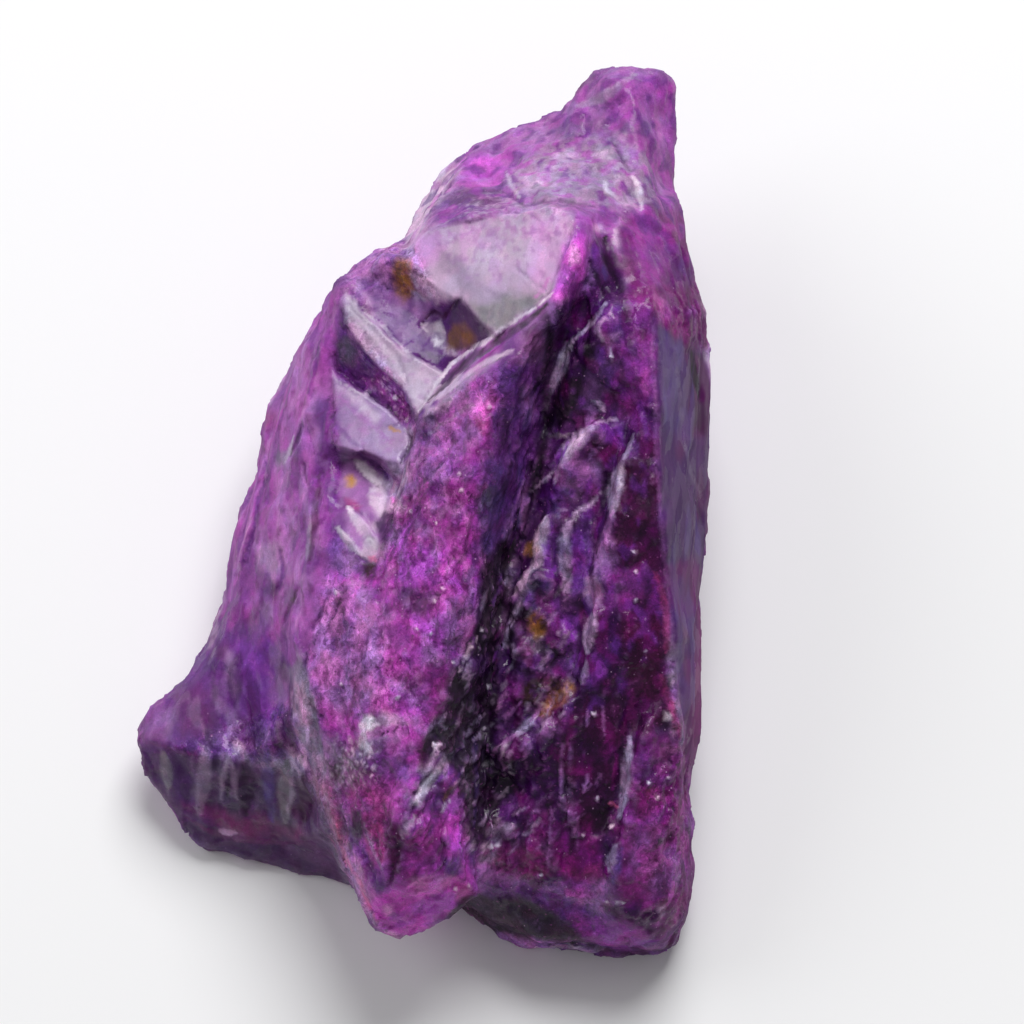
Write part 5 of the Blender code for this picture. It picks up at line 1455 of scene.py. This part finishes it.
def paint_face(skin, colours, front, x, y, wander):
    """The patches, clouds, ledges and cracks of the ridged face, among them painted highlights, reflections
    and shade, with painted shadows at the feet of high ledges, painted glints and a small white patch.
    """
    line_x = x + LINE_WANDER * wander[0]
    line_y = y + LINE_WANDER * wander[1]
    broken = 0.75 + 0.5 * noise_field(skin.face, *BROKEN_NOISE)
    grainy = 0.35 + 0.65 * rise(noise_field(skin.face, *GRAINY_NOISE), -0.2, 0.2)
    paint_patches(colours, front, x, y, wander, PALETTE)
    paint_mottles(skin, colours, front, x, y, wander)
    paint_patches(colours, front * grainy, x, y, wander, ON_TOP)
    for _, colour, strength, width, height, route in LINES + make_splinters():
        # A painted shadow along the foot of each high ledge.
        if height > SHADED_RISE:
            foot = line_mask(line_x + 0.7 * width, line_y, route, 0.7 * width)
            paint(colours, FOOT_SHADOW_STRENGTH * front * foot, "black violet")
        mask = np.clip(strength * broken, 0.0, 1.0) * front * line_mask(line_x, line_y, route, width)
        paint(colours, mask, colour)
    # Painted highlights: the glints, in white.
    for at_x, at_y, width in GLINTS:
        paint(colours, 0.9 * front * spot_mask(x, y, (at_x, at_y), 0.75 * width), "white")
    paint(colours, 0.95 * front * patch_mask(x, y, CHIP, 2.0), "white")


def paint_edge_highlight_and_crease_shade(skin, colours):
    """Painted highlight on the edges, which turn lighter, and painted shade in the creases, which turn
    darker.
    """
    hollow = skin.hollowness(HOLLOW_ROUNDS)
    paint(colours, 0.25 * rise(-hollow, 0.25, 1.2), "light mauve")
    paint(colours, 0.45 * rise(hollow, 0.25, 1.2), "deep violet")


def store(mesh, name, values):
    """Keeps a value or a colour for every point of the mesh."""
    if values.ndim == 2:
        kept = mesh.attributes.new(name, "FLOAT_COLOR", "POINT")
        full = np.ones((len(values), 4))
        full[:, :3] = values
        kept.data.foreach_set("color", full.ravel())
    else:
        kept = mesh.attributes.new(name, "FLOAT", "POINT")
        kept.data.foreach_set("value", values.astype(np.float32))


class Nodes:
    """Short calls for a material's node tree."""

    def __init__(self, tree):
        self.tree = tree

    def add(self, kind, inputs=(), **settings):
        node = self.tree.nodes.new(kind)
        for key, value in settings.items():
            setattr(node, key, value)
        for key, value in dict(inputs).items():
            self.put(node, key, value)
        return node

    def put(self, node, key, value):
        socket = node.inputs[key]
        if isinstance(value, bpy.types.NodeSocket):
            self.tree.links.new(value, socket)
        else:
            socket.default_value = value

    def noise(self, places, size, detail, rough=0.6):
        inputs = {"Vector": places, "Scale": 1.0 / size, "Detail": detail, "Roughness": rough}
        return self.add("ShaderNodeTexNoise", inputs).outputs["Fac"]

    def ramp(self, value, low, high, out_low, out_high):
        inputs = {"Value": value, "From Min": low, "From Max": high, "To Min": out_low, "To Max": out_high}
        return self.add("ShaderNodeMapRange", inputs, interpolation_type="SMOOTHSTEP").outputs["Result"]

    def span(self, value, low, high):
        inputs = {"Value": value, "To Min": low, "To Max": high}
        return self.add("ShaderNodeMapRange", inputs).outputs["Result"]

    def tilt(self, normal, random_colour, share):
        """The normal leaned by a random colour, by a share."""
        middle = self.vector("SUBTRACT", {0: random_colour, 1: (0.5,) * 3})
        return self.vector("ADD", {0: normal, 1: self.vector("SCALE", {0: middle, "Scale": share})})

    def vector(self, operation, inputs):
        return self.add("ShaderNodeVectorMath", inputs, operation=operation).outputs[0]

    def parts(self, colour):
        """The three channels of a colour, each a random number of its cell."""
        return self.add("ShaderNodeSeparateColor", {0: colour}).outputs

    def product(self, *values):
        made = values[0]
        for value in values[1:]:
            made = self.math("MULTIPLY", made, value)
        return made

    def math(self, operation, first, second):
        return self.add("ShaderNodeMath", {0: first, 1: second}, operation=operation).outputs[0]

    def mix(self, share, first, second, blend="MIX"):
        inputs = {"Factor": share, 6: first, 7: second}
        return self.add("ShaderNodeMix", inputs, data_type="RGBA", blend_type=blend).outputs[2]

    def attribute(self, name, output):
        return self.add("ShaderNodeAttribute", attribute_name=name).outputs[output]


def rgba(name):
    return (*linear(name), 1.0)


def stone_material():
    """Opaque dyed corundum: each facet and each sugary grain has its own shade and leans its own way."""
    material = bpy.data.materials.new("purple_corundum")
    material.use_nodes = True
    material.node_tree.nodes.clear()
    nodes = Nodes(material.node_tree)
    shader = nodes.add("ShaderNodeBsdfPrincipled")
    end = nodes.add("ShaderNodeOutputMaterial", {"Surface": shader.outputs["BSDF"]})
    end.location = (400, 0)
    rough = nodes.attribute("rough", "Fac")
    object_places = nodes.add("ShaderNodeTexCoord").outputs["Object"]
    places = nodes.vector("MULTIPLY", {0: object_places, 1: (1.0 / MM,) * 3})
    warp_inputs = {"Vector": places, "Scale": WARP_SCALE, "Detail": 2.0}
    warp = nodes.add("ShaderNodeTexNoise", warp_inputs).outputs["Color"]
    strayed = nodes.vector("MULTIPLY_ADD", {0: warp, 1: (WARP_REACH,) * 3, 2: places})
    long_places = nodes.vector("MULTIPLY", {0: strayed, 1: FACET_STRETCH})
    facets = nodes.add("ShaderNodeTexVoronoi", {"Vector": long_places, "Scale": FACET_SCALE})
    sugar = nodes.add("ShaderNodeTexVoronoi", {"Vector": strayed, "Scale": SUGAR_SCALE})
    clouds = nodes.noise(places, *CLOUD_NOISE)
    streaks = nodes.noise(nodes.vector("MULTIPLY", {0: places, 1: STREAK_STRETCH}), *STREAK_NOISE)
    facet_parts = nodes.parts(facets.outputs["Color"])

    colour = shaded_colour(nodes, places, rough, facet_parts, sugar, clouds, streaks)
    nodes.put(shader, "Base Color", dotted_colour(nodes, places, rough, sugar, colour))

    satin = nodes.math("MULTIPLY", nodes.attribute("satin", "Fac"), SATIN_ROUGHNESS)
    nodes.put(shader, "Roughness", nodes.math("ADD", nodes.span(facet_parts[2], *FACET_ROUGHNESS), satin))
    shader.inputs["IOR"].default_value = REFRACTION
    shader.inputs["Specular IOR Level"].default_value = GLOSS
    cloud_height = nodes.math("MULTIPLY", clouds, CLOUD_HEIGHT)
    height = nodes.math("ADD", cloud_height, nodes.math("MULTIPLY", streaks, STREAK_HEIGHT))
    inputs = {"Height": height, "Distance": BUMP_DEPTH * MM, "Strength": nodes.span(rough, *BUMP_STRENGTH)}
    bumped = nodes.add("ShaderNodeBump", inputs).outputs["Normal"]
    tilted = nodes.tilt(bumped, facets.outputs["Color"], nodes.span(rough, *FACET_LEAN))
    tilted = nodes.tilt(tilted, sugar.outputs["Color"], nodes.math("MULTIPLY", rough, SUGAR_LEAN))
    nodes.put(shader, "Normal", nodes.vector("NORMALIZE", {0: tilted}))
    return material


def shaded_colour(nodes, places, rough, facet_parts, sugar, clouds, streaks):
    """The painted tint, lighter and darker in clouds, streaks, facets and grains, and warmer and cooler."""
    tint = nodes.attribute("tint", "Color")
    middle = nodes.math("SUBTRACT", nodes.parts(sugar.outputs["Color"])[1], 0.5)
    grain = nodes.math("MULTIPLY", middle, nodes.math("MULTIPLY", rough, SUGAR_SHADE))
    value = nodes.product(
        nodes.ramp(clouds, *CLOUD_SHADES),
        nodes.span(facet_parts[0], *FACET_SHADES),
        nodes.math("ADD", grain, 1.0),
        nodes.ramp(streaks, *STREAK_SHADES),
        nodes.ramp(nodes.noise(places, *DUST_NOISE), *DUST_SHADES),
    )
    shade = nodes.add("ShaderNodeCombineColor", {0: value, 1: value, 2: value}).outputs[0]
    colour = nodes.mix(1.0, tint, shade, "MULTIPLY")
    warm = nodes.mix(1.0, colour, WARM, "MULTIPLY")
    cool = nodes.mix(1.0, colour, COOL, "MULTIPLY")
    facet_hue = nodes.math("MULTIPLY", facet_parts[1], FACET_HUE)
    hue = nodes.math("ADD", nodes.noise(places, *HUE_NOISE), facet_hue)
    colour = nodes.mix(nodes.ramp(hue, *HUES), cool, warm)
    return nodes.mix(nodes.span(rough, *SHADED), tint, colour)


def dotted_colour(nodes, places, rough, sugar, colour):
    """The colour with bright and dark sugary grains, and small pale specks that are painted glints."""
    chance = nodes.parts(sugar.outputs["Color"])[0]
    dot = nodes.math("MULTIPLY", nodes.ramp(sugar.outputs["Distance"], *DOT_EDGE), rough)
    bright = nodes.math("MULTIPLY", nodes.math("GREATER_THAN", chance, BRIGHT_ABOVE), dot)
    dark = nodes.math("MULTIPLY", nodes.math("LESS_THAN", chance, DARK_BELOW), dot)
    colour = nodes.mix(nodes.math("MULTIPLY", bright, BRIGHT_STRENGTH), colour, rgba("hot pink"))
    colour = nodes.mix(nodes.math("MULTIPLY", dark, DARK_STRENGTH), colour, rgba("deep violet"))
    # Small pale specks: painted glints.
    glint_specks = nodes.add("ShaderNodeTexVoronoi", {"Vector": places, "Scale": GLINT_SPECK_SCALE})
    shown = nodes.math("GREATER_THAN", nodes.parts(glint_specks.outputs["Color"])[2], GLINT_SPECKS_ABOVE)
    glint_speck = nodes.product(nodes.ramp(glint_specks.outputs["Distance"], *GLINT_SPECK_EDGE), rough, shown)
    return nodes.mix(nodes.math("MULTIPLY", glint_speck, GLINT_SPECK_STRENGTH), colour, rgba("pale pink"))


def face_wander(skin):
    """How far the colours stray sideways and lengthwise from their outlines, in pixels."""
    ways = []
    for strays in (STRAYS_ACROSS, STRAYS_ALONG):
        ways.append(sum(reach * noise_field(skin.face, *kind) for reach, kind in strays))
    return ways


def build_stone(node):
    """The dressed stone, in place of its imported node."""
    stone = fine_mesh(node)
    skin = Skin(stone.data)
    nudge(skin)
    front = rise(skin.look[:, 2], *SHAPED_TURN)
    x, y = skin.photo_places()
    stray_x, stray_y = (SHARP_STRAY * noise_field(skin.face, *kind) for kind in SHARP_NOISES)
    shape_skin(skin, front, x + SHAPE_SHARE * stray_x, y + SHAPE_SHARE * stray_y)
    thin_hidden_sides(stone)
    skin = Skin(stone.data)
    skin.place()
    x, y = skin.photo_places()
    front = rise(skin.look[:, 2], *PAINTED_TURN)
    colours = np.empty((len(skin.row), 3))
    paint_all_round(skin, colours)
    paint_face(skin, colours, front, x, y, face_wander(skin))
    # Painted highlight on the edges and painted shade in the creases.
    paint_edge_highlight_and_crease_shade(skin, colours)
    store(stone.data, "tint", colours)
    store(stone.data, "rough", roughness_of(skin, front, x, y))
    store(stone.data, "satin", 1.0 - rise(np.abs(skin.look[:, 2]), *SATIN_TURN))
    stone.data.materials.clear()
    stone.data.materials.append(stone_material())
    stone.data.shade_smooth()
    return stone


def floor_material():
    material = bpy.data.materials.new("pale_floor")
    material.use_nodes = True
    shader = material.node_tree.nodes["Principled BSDF"]
    shader.inputs["Base Color"].default_value = FLOOR_COLOUR
    shader.inputs["Roughness"].default_value = 0.7
    shader.inputs["Specular IOR Level"].default_value = 0.2
    return material


def build_floor():
    mesh = bpy.data.meshes.new("pale_floor")
    turns = [(-1.0, -1.0), (1.0, -1.0), (1.0, 1.0), (-1.0, 1.0)]
    mesh.from_pydata([(FLOOR_REACH * x, FLOOR_REACH * y, 0.0) for x, y in turns], [], [(0, 1, 2, 3)])
    mesh.materials.append(floor_material())
    floor = bpy.data.objects.new("pale_floor", mesh)
    bpy.context.scene.collection.objects.link(floor)


def add_area_light(name, place, size, power):
    """A soft round light that faces the middle of the floor."""
    data = bpy.data.lights.new(name, "AREA")
    data.shape = "DISK"
    data.size = size
    data.energy = power
    made = bpy.data.objects.new(name, data)
    made.location = place
    made.rotation_mode = "QUATERNION"
    made.rotation_quaternion = (-Vector(place)).to_track_quat("-Z", "Y")
    bpy.context.scene.collection.objects.link(made)


def build_light():
    world = bpy.data.worlds.new("soft_room")
    world.use_nodes = True
    bpy.context.scene.world = world
    sky = world.node_tree.nodes["Background"]
    sky.inputs["Color"].default_value = (1.0, 1.0, 1.0, 1.0)
    sky.inputs["Strength"].default_value = ROOM_LIGHT
    for light in LIGHTS:
        add_area_light(*light)
    bpy.context.scene.view_settings.view_transform = "Standard"


def build_camera():
    data = bpy.data.cameras.new("camera")
    data.sensor_width = SENSOR
    data.lens = SENSOR * CAMERA_DISTANCE * PIXELS_PER_MM / PHOTO_SIZE
    data.clip_start = 0.01
    data.clip_end = 10.0
    camera = bpy.data.objects.new("camera", data)
    camera.matrix_world = face_matrix() @ Matrix.Translation((0.0, 0.0, CAMERA_DISTANCE))
    camera.scale = (1.0, 1.0, 1.0)
    bpy.context.scene.collection.objects.link(camera)
    bpy.context.scene.camera = camera


for old in list(bpy.data.objects):
    bpy.data.objects.remove(old)
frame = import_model()
stone = build_stone(frame["nodes"]["sapphire_crystal"])
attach(stone, "root")
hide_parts("sapphire_crystal")
build_floor()
build_light()
build_camera()
